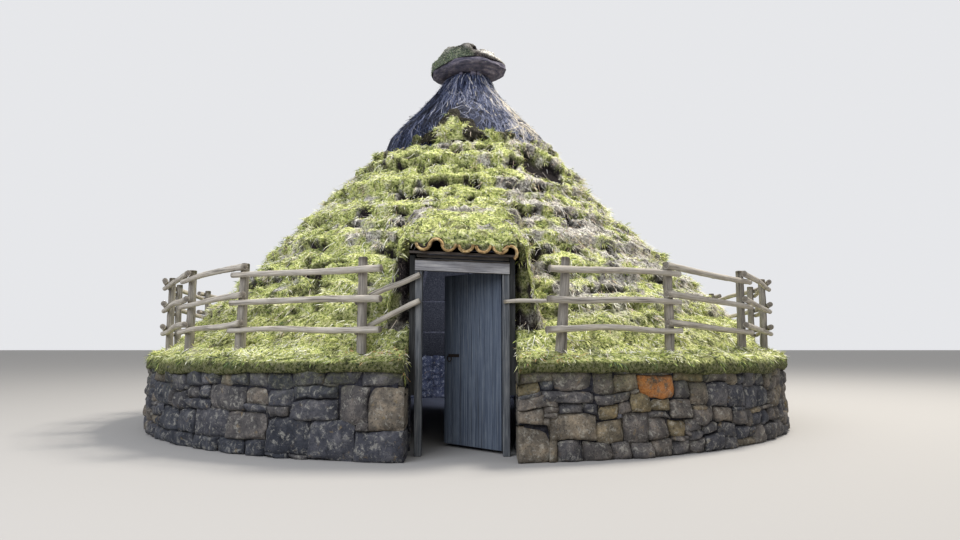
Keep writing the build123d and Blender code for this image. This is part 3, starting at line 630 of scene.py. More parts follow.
turfSizes = {
    "eavesRadius": 4.28, "eavesHeight": 1.08, "topRadius": 1.05, "pitch": math.radians(46.3),
    "courses": 8, "nose": 0.055, "clump": 0.045, "tussock": 0.045,
    "holeDepth": 0.08, "sag": 0.13, "deepest": -0.15,
    "hoodTop": 2.205, "hoodPitch": math.radians(21), "hoodFront": -4.215, "bankFront": -4.00,
}
wholeSlope = (turfSizes["eavesRadius"] - turfSizes["topRadius"]) / math.cos(turfSizes["pitch"])
courseLength = wholeSlope / turfSizes["courses"]
slopeRise = math.tan(turfSizes["pitch"])

turfEdge = [
    # azimuth, height at which the turf gives way to the thatch: a tongue in front, low on the left
    (-180, 4.22), (-120, 4.14), (-90, 4.08), (-62, 3.99), (-48, 4.02), (-38, 4.08), (-30, 4.14), (-24, 4.20),
    (-19, 4.29), (-8, 4.29), (0, 4.29), (9, 4.27), (17, 4.22), (25, 4.18), (34, 4.20), (45, 4.22), (70, 4.18),
    (110, 4.22), (150, 4.16), (180, 4.22),
]


def turfTop(azimuth):
    a = (np.asarray(azimuth, float) + 180) % 360 - 180
    top = np.interp(a, [row[0] for row in turfEdge], [row[1] for row in turfEdge])
    return top + 0.025 * np.sin(np.radians(a * 19 + 40)) + 0.02 * np.sin(np.radians(a * 31))


def lapped(phase, front, above, below):
    # how high one sod stands, from -1 to 1 at its nose, and how near the torn face under the nose is
    height = np.where(phase < front, phase / front, 1 - (phase - front) / (1 - front)) * 2 - 1
    upper, lower = np.clip(1 - np.abs(phase - 0.01) / above, 0, 1), np.clip(1 - (1 - phase) / below, 0, 1)
    return height, np.maximum(upper, lower)


def courseStep(points, run, seed):
    # the sods lie in courses, each with a nose that laps over the course below, and break again half way up
    warp = run + 0.07 * smoothNoise(points, 1.1, seed) + 0.05 * smoothNoise(points, 0.33, seed + 1)
    phase = (warp / courseLength) % 1.0
    nose, riser = lapped(phase, 0.08, 0.07, 0.06)
    half = (warp / courseLength + 0.5 + 0.12 * smoothNoise(points, 0.6, seed + 3)) % 1.0
    lip, notch = lapped(half, 0.12, 0.08, 0.05)
    patch = step(-0.25, 0.35, smoothNoise(points * (1, 1, 1.6), 0.45, seed + 2))
    return nose, lip * patch, np.maximum(riser * (0.55 + 0.45 * patch), notch * patch)


# hollows that show in front, painted dark as shade: azimuth, height, half width in degrees, half height in
# metres, depth
turfHollows = [
    (34.0, 3.62, 9.5, 0.28, 0.19), (45.0, 3.54, 6.0, 0.20, 0.14), (-2.0, 4.30, 4.5, 0.05, 0.10),
    (8.0, 4.22, 5.0, 0.05, 0.10), (-24.0, 4.02, 4.0, 0.05, 0.10), (-18.0, 3.99, 3.5, 0.05, 0.08),
    (-27.0, 3.72, 6.0, 0.07, 0.12), (-12.0, 3.60, 4.0, 0.05, 0.09), (2.0, 3.55, 5.0, 0.06, 0.11),
    (36.0, 4.10, 8.0, 0.07, 0.10), (-7.0, 3.22, 3.0, 0.06, 0.10), (5.0, 3.20, 2.2, 0.07, 0.10),
    (-16.0, 3.05, 4.5, 0.06, 0.10), (1.5, 2.92, 2.5, 0.07, 0.09),
]


def tufted(points, size, seed, smallSeed):
    # rounded clumps with sharp creases, small ones between them, and the painted shade in the creases
    large = np.abs(smoothNoise(points, size, seed)) ** 0.7
    small = np.abs(smoothNoise(points, 0.07, smallSeed)) ** 0.7
    return large, small, step(0.30, 0.08, large) * 0.7 + step(0.22, 0.06, small) * 0.4


def turfRelief(points, azimuth, run, seed=20):
    # how far the turf stands out of its plane, how whole its grass is, and how shaded
    nose, lip, torn = courseStep(points, run, seed)
    upper = step(0.2, 0.9, run)
    tussock, small, creaseShade = tufted(points, 0.15, seed + 4, seed + 11)
    height = turfSizes["nose"] * nose * upper + 0.035 * lip * (0.3 + 0.7 * upper)
    height = height + turfSizes["clump"] * roughNoise(points, 0.30, 3, seed + 5)
    height = height + turfSizes["tussock"] * (tussock - 0.5) + 0.022 * (small - 0.5)
    ragged = roughNoise(points * (1, 1, 1.7), 0.16, 2, seed + 8)
    holes = step(0.26, 0.36, ragged + 0.08 * upper * torn) * step(0.5, 1.2, run)
    bare = np.clip(torn * (0.15 + 0.7 * upper) * step(-0.3, 0.1, ragged) + holes, 0, 1)
    height = height - turfSizes["holeDepth"] * holes
    # painted shade in the creases and in the ragged holes
    shade = creaseShade + 0.5 * step(0.05, 0.25, ragged)
    for middle, level, wide, tall, depth in turfHollows:
        along = (level - turfSizes["eavesHeight"]) / math.sin(turfSizes["pitch"])
        tall = tall / math.sin(turfSizes["pitch"])
        away = ((azimuth - middle + 4 * smoothNoise(points, 0.3, seed + 6)) / wide) ** 2 + \
            ((run - along + 0.05 * smoothNoise(points, 0.25, seed + 7)) / tall) ** 2
        inside = step(1.35, 0.75, away)
        aside = ((azimuth - middle) / (wide * 1.2)) ** 2
        brow = np.exp(-(aside + ((run - along - 1.45 * tall) / (0.45 * tall)) ** 2))
        height = height * (1 - 0.6 * inside) - depth * inside + 0.25 * depth * brow
        bare = np.clip(bare * (1 - brow) + inside * 1.3, 0, 1)
        # painted shade inside each hollow, taken off under its brow
        shade = np.maximum(shade * (1 - brow), inside)
    # the slope has sagged half way up on the right
    sag = turfSizes["sag"] * np.exp(-((azimuth - 68) / 22) ** 2 - ((run - 2.8) / 0.95) ** 2)
    height = np.maximum(height - sag, turfSizes["deepest"])
    return height, 1 - bare, np.clip(shade, 0, 1)


def dryness(points, run):
    # dead and grey high on the right, but for a green band near the thatch
    greenBand = 1 - 0.8 * np.exp(-((run - 3.75) / 0.25) ** 2)
    rightSide = np.exp(-((azimuthOf(points) - 40) / 27) ** 2) * step(0.3, 1.0, run) * greenBand
    broad = smoothNoise(points, 0.8, 61) * 0.35 + 0.55 * smoothNoise(points, 0.22, 62)
    broad = broad + 0.5 * smoothNoise(points, 0.09, 63)
    return np.clip(step(0.15, 0.55, broad + 0.42 * rightSide) * (0.3 + 0.7 * step(0.2, 0.9, run)), 0, 1)


def sodPiece(name, points, faces, run, lush, dry, shade, nodes=()):
    # run is the way up the slope, lush how whole the grass is, dry how dead, and shade how dark
    fields = {"lush": lush, "dry": dry, "shade": shade}
    meshPiece(name, [(points, faces, fields)], sodMaterial, "hut", replaces=nodes)
    return points, faces, run, lush, dry, shade


def buildTurf():
    columns, rows = ((620, 176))
    azimuths = np.linspace(-180, 180, columns, endpoint=False)
    share = np.linspace(0, 1, rows)
    topRadius = turfSizes["eavesRadius"] - (turfTop(azimuths) - turfSizes["eavesHeight"]) / slopeRise
    slopeLength = (turfSizes["eavesRadius"] - topRadius) / math.cos(turfSizes["pitch"])
    # from the wall's face over the steep rim to the eaves, then on up the slope: run, radius, height
    lead = np.array([(-0.56, 4.47, 0.840), (-0.50, 4.54, 0.832), (-0.44, 4.595, 0.840), (-0.38, 4.615, 0.885),
                     (-0.31, 4.60, 0.945), (-0.22, 4.53, 0.985), (-0.11, 4.41, 1.025), (0.0, 4.28, 1.08)])
    leadShare = 0.14
    onLead = (share < leadShare)[:, None]
    upSlope = ((share - leadShare) / (1 - leadShare))[:, None] * slopeLength
    run = np.where(onLead, (-0.56 + 0.56 * share / leadShare)[:, None], upSlope).ravel()
    a = np.tile(azimuths, rows)
    share = np.repeat(share, columns)
    radius = turfSizes["eavesRadius"] - run * math.cos(turfSizes["pitch"])
    height = turfSizes["eavesHeight"] + run * math.sin(turfSizes["pitch"])
    radius = np.where(share < leadShare, np.interp(run, lead[:, 0], lead[:, 1]), radius)
    height = np.where(share < leadShare, np.interp(run, lead[:, 0], lead[:, 2]), height)
    base = polar(radius, a, height)
    relief, lush, shade = turfRelief(base, a, run)
    rimPart = step(0.0, -0.25, run)
    relief = (relief - 0.015) * (1 - 0.5 * rimPart)
    rimAngle = np.interp(run, [-0.56, -0.38, -0.28, -0.15, 0.0], [-1.2, -0.1, 0.5, 1.1, 0.95])
    normalAngle = np.where(run < 0, rimAngle, 0.764)
    up, out = np.sin(normalAngle), np.cos(normalAngle)
    # the rim hangs lower away from the doorway, and its upright face has less grass and is painted dark with
    # shade
    fromDoor = step(8, 50, np.abs(a))
    drape = -0.055 * fromDoor * step(-0.24, -0.40, run) * (1 + 0.7 * smoothNoise(base, 0.35, 91))
    relief = relief - 0.11 * step(0.982, 0.998, share)
    points = base + polar(relief * out, a, relief * up + drape)
    upright = step(-0.28, -0.34, run)
    underTongue = step(-36, -28, a) * step(18, 10, a) * step(4.0, 4.2, height)
    relief = relief * (1 - 0.5 * underTongue) - 0.05 * underTongue
    tornTop = step(0.965, 0.985, share + 0.02 * smoothNoise(base, 0.12, 92)) * (1 - underTongue)
    lush = np.clip(lush * (1 - 0.5 * upright) * (1 - 0.9 * tornTop), 0, 1)
    # painted shade on the rim's upright face
    shade = np.maximum(shade, 0.75 * upright)
    dry = dryness(base, run)
    # the doorway: what stands inside the hood's passage goes, and its edge drops to the wall
    side = np.sign(points[:, 0])
    inPassage = (points[:, 1] < -2.0) & (np.abs(points[:, 0]) < wallSizes["reveal"]) & \
        (points[:, 2] < hoodHeight(points[:, 1]) - 0.06)
    snap = inPassage & (np.abs(points[:, 0]) > wallSizes["reveal"] - 0.055)
    points[:, 0] = np.where(snap, side * wallSizes["reveal"], points[:, 0])
    points[:, 2] = np.where(snap & (points[:, 1] < -3.9), points[:, 2] - 0.13, points[:, 2])
    lush = np.where(snap, 0.1, lush)
    drop = inPassage & ~snap
    faces = gridFaces(rows, columns, closed=True)
    faces = faces[~drop[faces].any(axis=1)]
    onLeft = a[faces[:, 0]] < 0
    for name, chosen in (("left", onLeft), ("right", ~onLeft)):
        used, half = np.unique(faces[chosen], return_inverse=True)
        nodes = [f"turf_{name}_{i}" for i in range(1, 6)]
        values = (value[used] for value in (run, lush, dry, shade))
        sodPiece("turf_slope_" + name, points[used], half.reshape(-1, 4), *values, nodes)
    return points, faces, run, lush, dry, shade


def hoodHeight(y):
    return turfSizes["hoodTop"] + (np.asarray(y) - turfSizes["hoodFront"]) * math.tan(turfSizes["hoodPitch"])


tileRow = {
    # centre lines of the pans and of the two covers, height of the pans' rims at the front, fall to the right
    "pans": (-0.388, -0.134, 0.039, 0.212, 0.385), "covers": (-0.261, 0.480), "coverRise": (-0.030, -0.052),
    "radius": 0.084, "thickness": 0.028, "rims": 2.099, "front": -4.295, "slope": math.tan(math.radians(8)),
    "fall": 0.052, "sides": 22, "rows": 12, "length": 0.42, "lip": 0.009,
}


def tileFall(x):
    # lintel, deck and tiles have sunk towards the right
    return -tileRow["fall"] * (np.clip(x, -0.6, 0.6) + 0.05)


def tileTop(x):
    # upper outline of the tile row, with the pans filled with soil nearly to their rims
    x = np.asarray(x, float)
    inner = tileRow["radius"] - tileRow["thickness"]
    level = np.full(x.shape, tileRow["rims"] - 0.008)
    for centre in tileRow["pans"]:
        soil = tileRow["rims"] - 0.004 - 0.012 * np.cos((x - centre) / inner * 1.57)
        level = np.where(np.abs(x - centre) < inner, soil, level)
    for centre, rise in zip(tileRow["covers"], tileRow["coverRise"]):
        across = np.clip(np.abs(x - centre) / tileRow["radius"], 0, 1)
        arch = tileRow["rims"] + rise + tileRow["radius"] * np.sqrt(1 - across ** 2) + 0.004
        level = np.where(across < 1, np.maximum(level, arch), level)
    return level + tileFall(x)


def panFloor(x):
    # inner face of the pans, where the soil that fills them starts
    x = np.asarray(x, float)
    inner = tileRow["radius"] - tileRow["thickness"] * 0.5
    level = tileTop(x) - tileFall(x) - 0.006
    for centre in tileRow["pans"]:
        across = np.clip(np.abs(x - centre) / inner, 0, 1)
        hollow = np.minimum(level, tileRow["rims"] - inner * np.sqrt(1 - across ** 2))
        level = np.where(across < 1, hollow, level)
    for centre in tileRow["covers"]:
        under = np.abs(x - centre) < tileRow["radius"] * 0.97
        level = np.where(under, tileTop(x) - tileFall(x) - 0.004, level)
    return level + tileFall(x)


def buildHood():
    # turf banked round the door frame and over the tiles, swept back into the slope
    reveal = wallSizes["reveal"]
    outline = np.array([
        (-0.85, 0.84), (-0.82, 1.10), (-0.76, 1.42), (-0.70, 1.70), (-0.66, 1.95), (-0.62, 2.12),
        (-0.53, 2.20), (-0.2, 2.225), (0.1, 2.215), (0.4, 2.205), (0.55, 2.17), (0.64, 2.08), (0.67, 1.93),
        (0.71, 1.70), (0.77, 1.42), (0.82, 1.10), (0.85, 0.84)])
    inner = np.array([
        (-reveal, 0.84), (-reveal, 1.10), (-reveal, 1.42), (-reveal, 1.70), (-reveal, 1.95), (-0.54, 2.08),
        (-0.475, 2.10), (-0.2, 2.10), (0.1, 2.10), (0.4, 2.10), (0.56, 2.10), (0.585, 2.00), (0.57, 1.92),
        (reveal, 1.70), (reveal, 1.42), (reveal, 1.10), (reveal, 0.84)])
    lengths = np.concatenate([[0], np.cumsum(np.linalg.norm(np.diff(outline, axis=0), axis=1))])
    columns, rows, frontRows = ((230, 64, 13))
    u = np.linspace(0, lengths[-1], columns)
    shape = np.stack([np.interp(u, lengths, outline[:, i]) for i in (0, 1)], -1)
    hole = np.stack([np.interp(u, lengths, inner[:, i]) for i in (0, 1)], -1)
    overTiles = hole[:, 1] > 2.095
    topShare = step(1.85, 2.15, shape[:, 1])
    footShare = step(1.25, 0.95, shape[:, 1])
    hoodFront, bankFront = turfSizes["hoodFront"], turfSizes["bankFront"]
    front = bankFront + (hoodFront - bankFront) * topShare - 0.14 * footShare
    # the first two rows fill the pans, the others climb from the tiles or the boards to the bank's edge
    frontShare = [max(0, j - 1) / (frontRows - 1) for j in range(frontRows)]
    points = []
    for j, t in enumerate(frontShare):
        ring = hole + (shape - hole) * t
        low = panFloor(hole[:, 0]) if j == 0 else tileTop(hole[:, 0]) + 0.002
        z = np.where(overTiles, low + (shape[:, 1] - low) * t, ring[:, 1])
        tileY = -4.262 + (front + 4.262) * t ** 0.7
        bankY = front - 0.06 * math.sin(math.pi * t) * (1 - topShare) + 0.03 * (1 - t) ** 2
        y = np.where(overTiles, tileY, bankY)
        points.append(np.stack([ring[:, 0], y, z], -1))
    for j in range(rows):
        t = j / (rows - 1)
        y = front + (-2.2 - front) * t
        rise = (y - hoodFront) * math.tan(turfSizes["hoodPitch"]) * topShare
        spread = 1 + 0.22 * t * (1 - topShare)
        points.append(np.stack([shape[:, 0] * spread, y, shape[:, 1] + rise], -1))
    count = frontRows + rows
    points = np.concatenate(points)
    onSide = np.repeat(np.arange(count) >= frontRows, columns)
    rowShare = np.repeat(frontShare + [1.0] * rows, columns)
    edges = np.zeros_like(shape)
    edges[1:-1] = shape[2:] - shape[:-2]
    edges[0], edges[-1] = edges[1], edges[-2]
    edges = unit(edges)
    outward = np.tile(np.stack([-edges[:, 1], np.zeros(columns), edges[:, 0]], -1), (count, 1))
    normal = unit(np.where(onSide[:, None], outward, np.array([0, -1.0, 0.0])))
    run = points[:, 2] - 0.8
    tussock, small, creaseShade = tufted(points, 0.14, 31, 32)
    atTiles = np.tile(overTiles, count)
    ragged = roughNoise(points, 0.20, 3, 33)
    relief = 0.085 * roughNoise(points, 0.24, 3, 25) + 0.06 * (tussock - 0.4) + 0.022 * (small - 0.5)
    relief = relief * np.where(onSide, 1.0, step(0.0, 0.25, rowShare) * 0.45)
    moved = points + normal * relief[:, None]
    moved[:, 1] += np.where(onSide, 0.03 * smoothNoise(points, 0.2, 37), 0)
    ontoTiles = ~onSide & atTiles
    moved[:, 2] += np.where(ontoTiles, 0.016 * smoothNoise(points, 0.05, 38) * (rowShare > 0), 0)
    # it stays out of the passage and off the tiles
    low = moved[:, 2] < 1.98
    moved[:, 0] = np.where(low & (np.abs(moved[:, 0]) < reveal), np.sign(moved[:, 0]) * reveal, moved[:, 0])
    moved[:, 1] = np.maximum(moved[:, 1], -4.289)
    clearTiles = tileTop(moved[:, 0]) + 0.001 + (moved[:, 1] + 4.29) * 0.14
    moved[:, 2] = np.where(atTiles & (rowShare > 0), np.maximum(moved[:, 2], clearTiles), moved[:, 2])
    holes = step(0.05, 0.3, ragged)
    bankFace = ~onSide & ~atTiles
    bare = np.where(bankFace, 0.55 + 0.5 * step(-0.2, 0.2, ragged), holes * 0.7)
    bareLip = step(0.35, 0.05, rowShare) * (0.5 + 0.5 * step(-0.1, 0.2, ragged))
    bare = np.where(ontoTiles, bareLip, bare)
    lush = np.clip(1 - bare, 0, 1)
    dry = np.clip(step(0.1, 0.5, smoothNoise(points, 0.25, 64) + 0.35 * (points[:, 0] > 0.5)), 0, 1)
    dry = dry * np.where((points[:, 2] > 2.05) & (points[:, 1] < -3.9), 0.1, 1.0)
    # painted shade in the creases, and more of it on the bank's upright face
    shade = np.clip(creaseShade, 0, 1)
    shade = np.where(bankFace, np.maximum(shade, 0.55), shade)
    # what lies inside the slope goes
    radius = np.hypot(moved[:, 0], moved[:, 1])
    eavesRadius, eavesHeight = turfSizes["eavesRadius"], turfSizes["eavesHeight"]
    slopeAt = np.where(radius > eavesRadius, 1.0, eavesHeight + (eavesRadius - radius) * slopeRise)
    hidden = moved[:, 2] < slopeAt - 0.25
    faces = gridFaces(count, columns)
    faces = faces[~hidden[faces].all(axis=1)][:, ::-1]
    nodes = ["turf_over_door", "turf_hood"]
    return sodPiece("turf_hood_banks", moved, faces, run, lush, dry, shade, nodes)


slope = buildTurf()
hood = buildHood()


def sampleSurface(points, faces, weights, count, rng):
    # random places on a mesh: which face, where on it, and its normal
    a, b, c, d = (points[faces[:, i]] for i in range(4))
    normal = np.cross(c - a, d - b)
    area = np.linalg.norm(normal, axis=1) / 2
    normal = unit(normal)
    chance = area * weights
    chance = chance / chance.sum()
    pick = rng.choice(len(faces), size=count, p=chance)
    s, t = rng.random(count)[:, None], rng.random(count)[:, None]
    place = (a[pick] * (1 - s) + b[pick] * s) * (1 - t) + (d[pick] * (1 - s) + c[pick] * s) * t
    return place, normal[pick], pick


def downSlope(outward):
    return outward * 0.69 - np.array([0, 0, 0.72])


def bladeStrips(root, direction, bend, length, width, facing, hue):
    # each leaf is a quad and a pointed tip, bent over by bend, with its face towards facing
    side = unit(np.cross(facing, direction))
    l, w = length[:, None], width[:, None]
    mid = root + direction * l * 0.5 + bend * l * 0.12
    tip = root + direction * l * 0.9 + bend * l * 0.45
    edges = [root - side * w, root + side * w, mid - side * w * 0.75, mid + side * w * 0.75, tip]
    points = np.stack(edges, 1)
    n = len(root)
    base = np.arange(n)[:, None] * 5
    quads = base + np.array([0, 2, 3, 1])
    tips = base + np.array([2, 4, 3])
    along = np.tile([0.0, 0.0, 0.9, 0.9, 1.0], n)
    return points.reshape(-1, 3), [quads, tips], {"hue": np.repeat(hue, 5), "along": along}


grassSizes = {"tufts": 12500, "perTuft": 7, "length": (0.030, 0.078), "halfWidth": 0.0048}


def growGrass():
    rng = np.random.default_rng(12)
    sectors = {f"grass_{end}_{side}": [] for end in ("front", "back") for side in ("left", "right")}
    for (points, faces, *fields), share, isHood in (
            (slope, 0.875, False), (hood, 0.105, True), (tongue, 0.008, False)):
        centre = points[faces].mean(axis=1)
        faceRun, faceLush, faceDry, faceShade = (field[faces].mean(axis=1) for field in fields)
        front = 0.45 + 0.55 * step(100, 65, np.abs(azimuthOf(centre)))
        clumps = step(-0.25, 0.3, smoothNoise(centre, 0.09, 75)) * (1 - 0.75 * faceShade)
        weight = (0.01 + 0.99 * faceLush ** 2) * (1 - step(0.5, 0.75, faceShade)) * front
        weight = weight * (0.08 + 0.92 * clumps) * (1 + 0.5 * step(0.6, -0.1, faceRun))
        tufts = int(grassSizes["tufts"] * share * (1.0))
        place, normal, pick = sampleSurface(points, faces, weight, tufts, rng)
        lushHere, dryHere, runHere, shadeHere = faceLush[pick], faceDry[pick], faceRun[pick], faceShade[pick]
        per = grassSizes["perTuft"]
        root = np.repeat(place, per, axis=0)
        n = np.repeat(normal, per, axis=0)
        total = len(root)
        scatter = rng.normal(0, 0.020, (total, 3))
        scatter -= n * (scatter * n).sum(axis=1, keepdims=True)
        root = root + scatter - n * 0.006
        outward, a = outwardOf(root), azimuthOf(root)
        downhill = downSlope(outward)
        tuftLean = np.repeat(rng.normal(0, 0.28, (tufts, 3)), per, axis=0)
        fan = unit(scatter + 1e-4) * 0.6
        isDead = np.repeat((rng.random(tufts) < 0.05 + dryHere * 0.70) & (runHere > -0.2), per)
        upright = n * 0.36 + np.array([0, 0, 0.12]) + tuftLean + fan + downhill * 0.50
        combed = n * 0.22 + downhill * 0.85 + tuftLean + fan * 0.6
        direction = unit(np.where(isDead[:, None], combed, upright) + rng.normal(0, 0.16, (total, 3)))
        bend = unit(downhill * 0.8 - [0, 0, 0.25] + fan + rng.normal(0, 0.4, (total, 3)))
        rim = np.repeat(step(-0.22, -0.34, runHere), per) * (0 if isHood else 1)
        fromDoor = step(8, 45, np.abs(a))
        hanging = outward * 0.35 - np.array([0, 0, 0.75])
        hung = rim[:, None] * (hanging + 0.35 * tuftLean + 0.3 * fan)
        direction = unit(direction * (1 - rim[:, None]) + hung)
        length = rng.uniform(*grassSizes["length"], total) * np.repeat(rng.uniform(0.65, 1.4, tufts), per)
        length *= (1 + 0.3 * isDead) * (1 - 0.4 * rim * (1 - fromDoor))
        overTiles = isHood * (root[:, 1] < -4.15) * (root[:, 2] > 2.05)
        length *= 1 - 0.45 * overTiles
        direction = unit(direction + overTiles[:, None] * np.array([0, 0.3, 0.9]))
        bend *= (1 - 0.8 * overTiles)[:, None]
        width = rng.uniform(0.6, 1.3, total) * grassSizes["halfWidth"] * (1 - 0.25 * isDead)
        facing = unit(n + outward * 0.35 + [0, 0, 0.45] + rng.normal(0, 0.42, (total, 3)))
        patch = smoothNoise(place, 0.42, 71) * 0.12 + smoothNoise(place, 0.12, 72) * 0.22
        lower = 0.05 * step(1.4, 0.4, runHere)
        tuftHue = 0.54 + patch + lower + 0.06 * smoothNoise(place, 1.6, 73) + rng.normal(0, 0.11, tufts)
        # painted shade: tufts are darker where the sod below them is shaded
        tuftHue = tuftHue - 0.30 * shadeHere
        tuftHue = np.clip(np.where(lushHere < 0.35, tuftHue - 0.10, tuftHue), 0.04, 0.72)
        # moss and short grass on the rim's upright face, painted dark as shade
        tuftHue = np.where((runHere < -0.27) & (not isHood), tuftHue * 0.22, tuftHue)
        hue = np.clip(np.repeat(tuftHue, per) + rng.normal(0, 0.12, total), 0.02, 0.74)
        deadHue = np.repeat(rng.choice([0.77, 0.8, 0.91, 0.95], tufts), per) + rng.normal(0, 0.02, total)
        hue = np.where(isDead, deadHue, hue)
        rusty = (np.abs(np.abs(a) - 11) < 4.5) & (root[:, 2] < 1.08) & (rng.random(total) < 0.28)
        hue = np.clip(np.where(rusty, 0.85, hue), 0.0, 1.0)
        # none in the doorway
        keep = ~((np.abs(root[:, 0]) < 0.54) & (root[:, 1] < -3) & (root[:, 2] < 2.07))
        for name in sectors:
            inFront = np.abs(a) < 50 if "front" in name else np.abs(a) >= 50
            onSide = a < 0 if "left" in name else a >= 0
            chosen = keep & inFront & onSide
            if chosen.any():
                args = (root, direction, bend, length, width, facing, hue)
                sectors[name].append(bladeStrips(*(value[chosen] for value in args)))
    for name, parts in sectors.items():
        meshPiece(name, parts, leafMaterial, "hut", smooth=False)


def ribbons(rings):
    # long thin strips; each ring holds the two edges of every strip at one place along it
    count, segments = len(rings[0]), len(rings) - 1
    strips = np.stack(rings, 1).reshape(count, -1, 3)
    first = np.arange(count)[:, None] * (2 * segments + 2)
    quads = np.concatenate([first + np.array([0, 2, 3, 1]) + 2 * j for j in range(segments)])
    return strips, quads


stemSizes = {"slope": 4200, "hood": 500, "halfWidth": 0.0030, "stem": (0.08, 0.22), "root": (0.06, 0.18)}


def growStems():
    # long dead stems combed down the turf by rain, and roots that hang from the steps
    rng = np.random.default_rng(19)
    parts = []
    for (points, faces, *fields), count in ((slope, stemSizes["slope"]), (hood, stemSizes["hood"])):
        faceRun, faceLush, faceDry, faceShade = (field[faces].mean(axis=1) for field in fields)
        weight = (0.2 + 1.3 * faceDry + 0.5 * (1 - faceLush)) * (faceRun > -0.18) * (1 - 0.85 * faceShade)
        count = int(count * (1.0))
        place, normal, pick = sampleSurface(points, faces, weight, count, rng)
        isRoot = rng.random(count) < 0.15 + 0.7 * (1 - faceLush[pick])
        outward = outwardOf(place)
        sideways = np.cross(outward, [0, 0, 1.0])
        drift = rng.normal(0, 0.35, count)[:, None] * sideways
        downhill = downSlope(outward)
        laid = unit(downhill + normal * 0.28 + drift + rng.normal(0, 0.12, (count, 3)))
        hanging = unit(outward * 0.35 + [0, 0, -0.9] + drift + rng.normal(0, 0.2, (count, 3)))
        direction = np.where(isRoot[:, None], hanging, laid)
        rootLength = rng.uniform(*stemSizes["root"], count)
        length = np.where(isRoot, rootLength, rng.uniform(*stemSizes["stem"], count))
        curl = rng.normal(0, 0.45, (count, 3)) - normal * 0.22
        segments, rings = 6, []
        position, heading = place + normal * 0.03, direction
        side = unit(np.cross(normal + rng.normal(0, 0.3, (count, 3)), direction))
        wide = stemSizes["halfWidth"] * rng.uniform(0.6, 1.3, count)[:, None]
        for j in range(segments + 1):
            w = wide * (1 - 0.6 * j / segments)
            rings.append(np.stack([position - side * w, position + side * w], 1))
            position = position + heading * (length / segments)[:, None]
            heading = unit(heading + curl * 0.15 + rng.normal(0, 0.09, (count, 3)))
        strip, quads = ribbons(rings)
        hue = np.where(isRoot, rng.uniform(0.86, 1.0, count), rng.choice([0.73, 0.77, 0.8, 0.92], count))
        fields = {"hue": np.repeat(hue, 2 * segments + 2), "along": np.full(count * (2 * segments + 2), 0.95)}
        inDoorway = (np.abs(strip[:, :, 0]) < 0.54).any(axis=1) & (strip[:, :, 1] < -3.6).any(axis=1) & \
            (strip[:, :, 2] < 2.0).any(axis=1)
        quads = quads[~np.tile(inDoorway, segments)]
        parts.append((strip.reshape(-1, 3), quads, fields))
    meshPiece("dead_stems_and_roots", parts, leafMaterial, "hut", smooth=False)


# thatch cap

capSizes = {
    # radius and height up the thatch, how much further out it stands on the right, and its loose strands
    "profile": np.array([
        (1.46, 3.66), (1.36, 3.90), (1.29, 4.12), (1.20, 4.32), (1.00, 4.54), (0.84, 4.71), (0.68, 4.90),
        (0.54, 5.07), (0.45, 5.20), (0.38, 5.33), (0.30, 5.41)]),
    "right": -0.05, "strands": 6800,
}


def capPoint(along, azimuth, lift):
    # a place on the thatch at a distance up its profile, lifted off its face
    profile = capSizes["profile"]
    span = np.concatenate([[0], np.cumsum(np.linalg.norm(np.diff(profile, axis=0), axis=1))])
    r, z = np.interp(along, span, profile[:, 0]), np.interp(along, span, profile[:, 1])
    narrow = capSizes["right"] * np.sin(np.radians(azimuth)) * step(3.9, 4.5, z) * step(5.45, 5.1, z)
    return polar(r + np.minimum(narrow, 0.02) + lift * 0.7, azimuth, z + lift * 0.7)


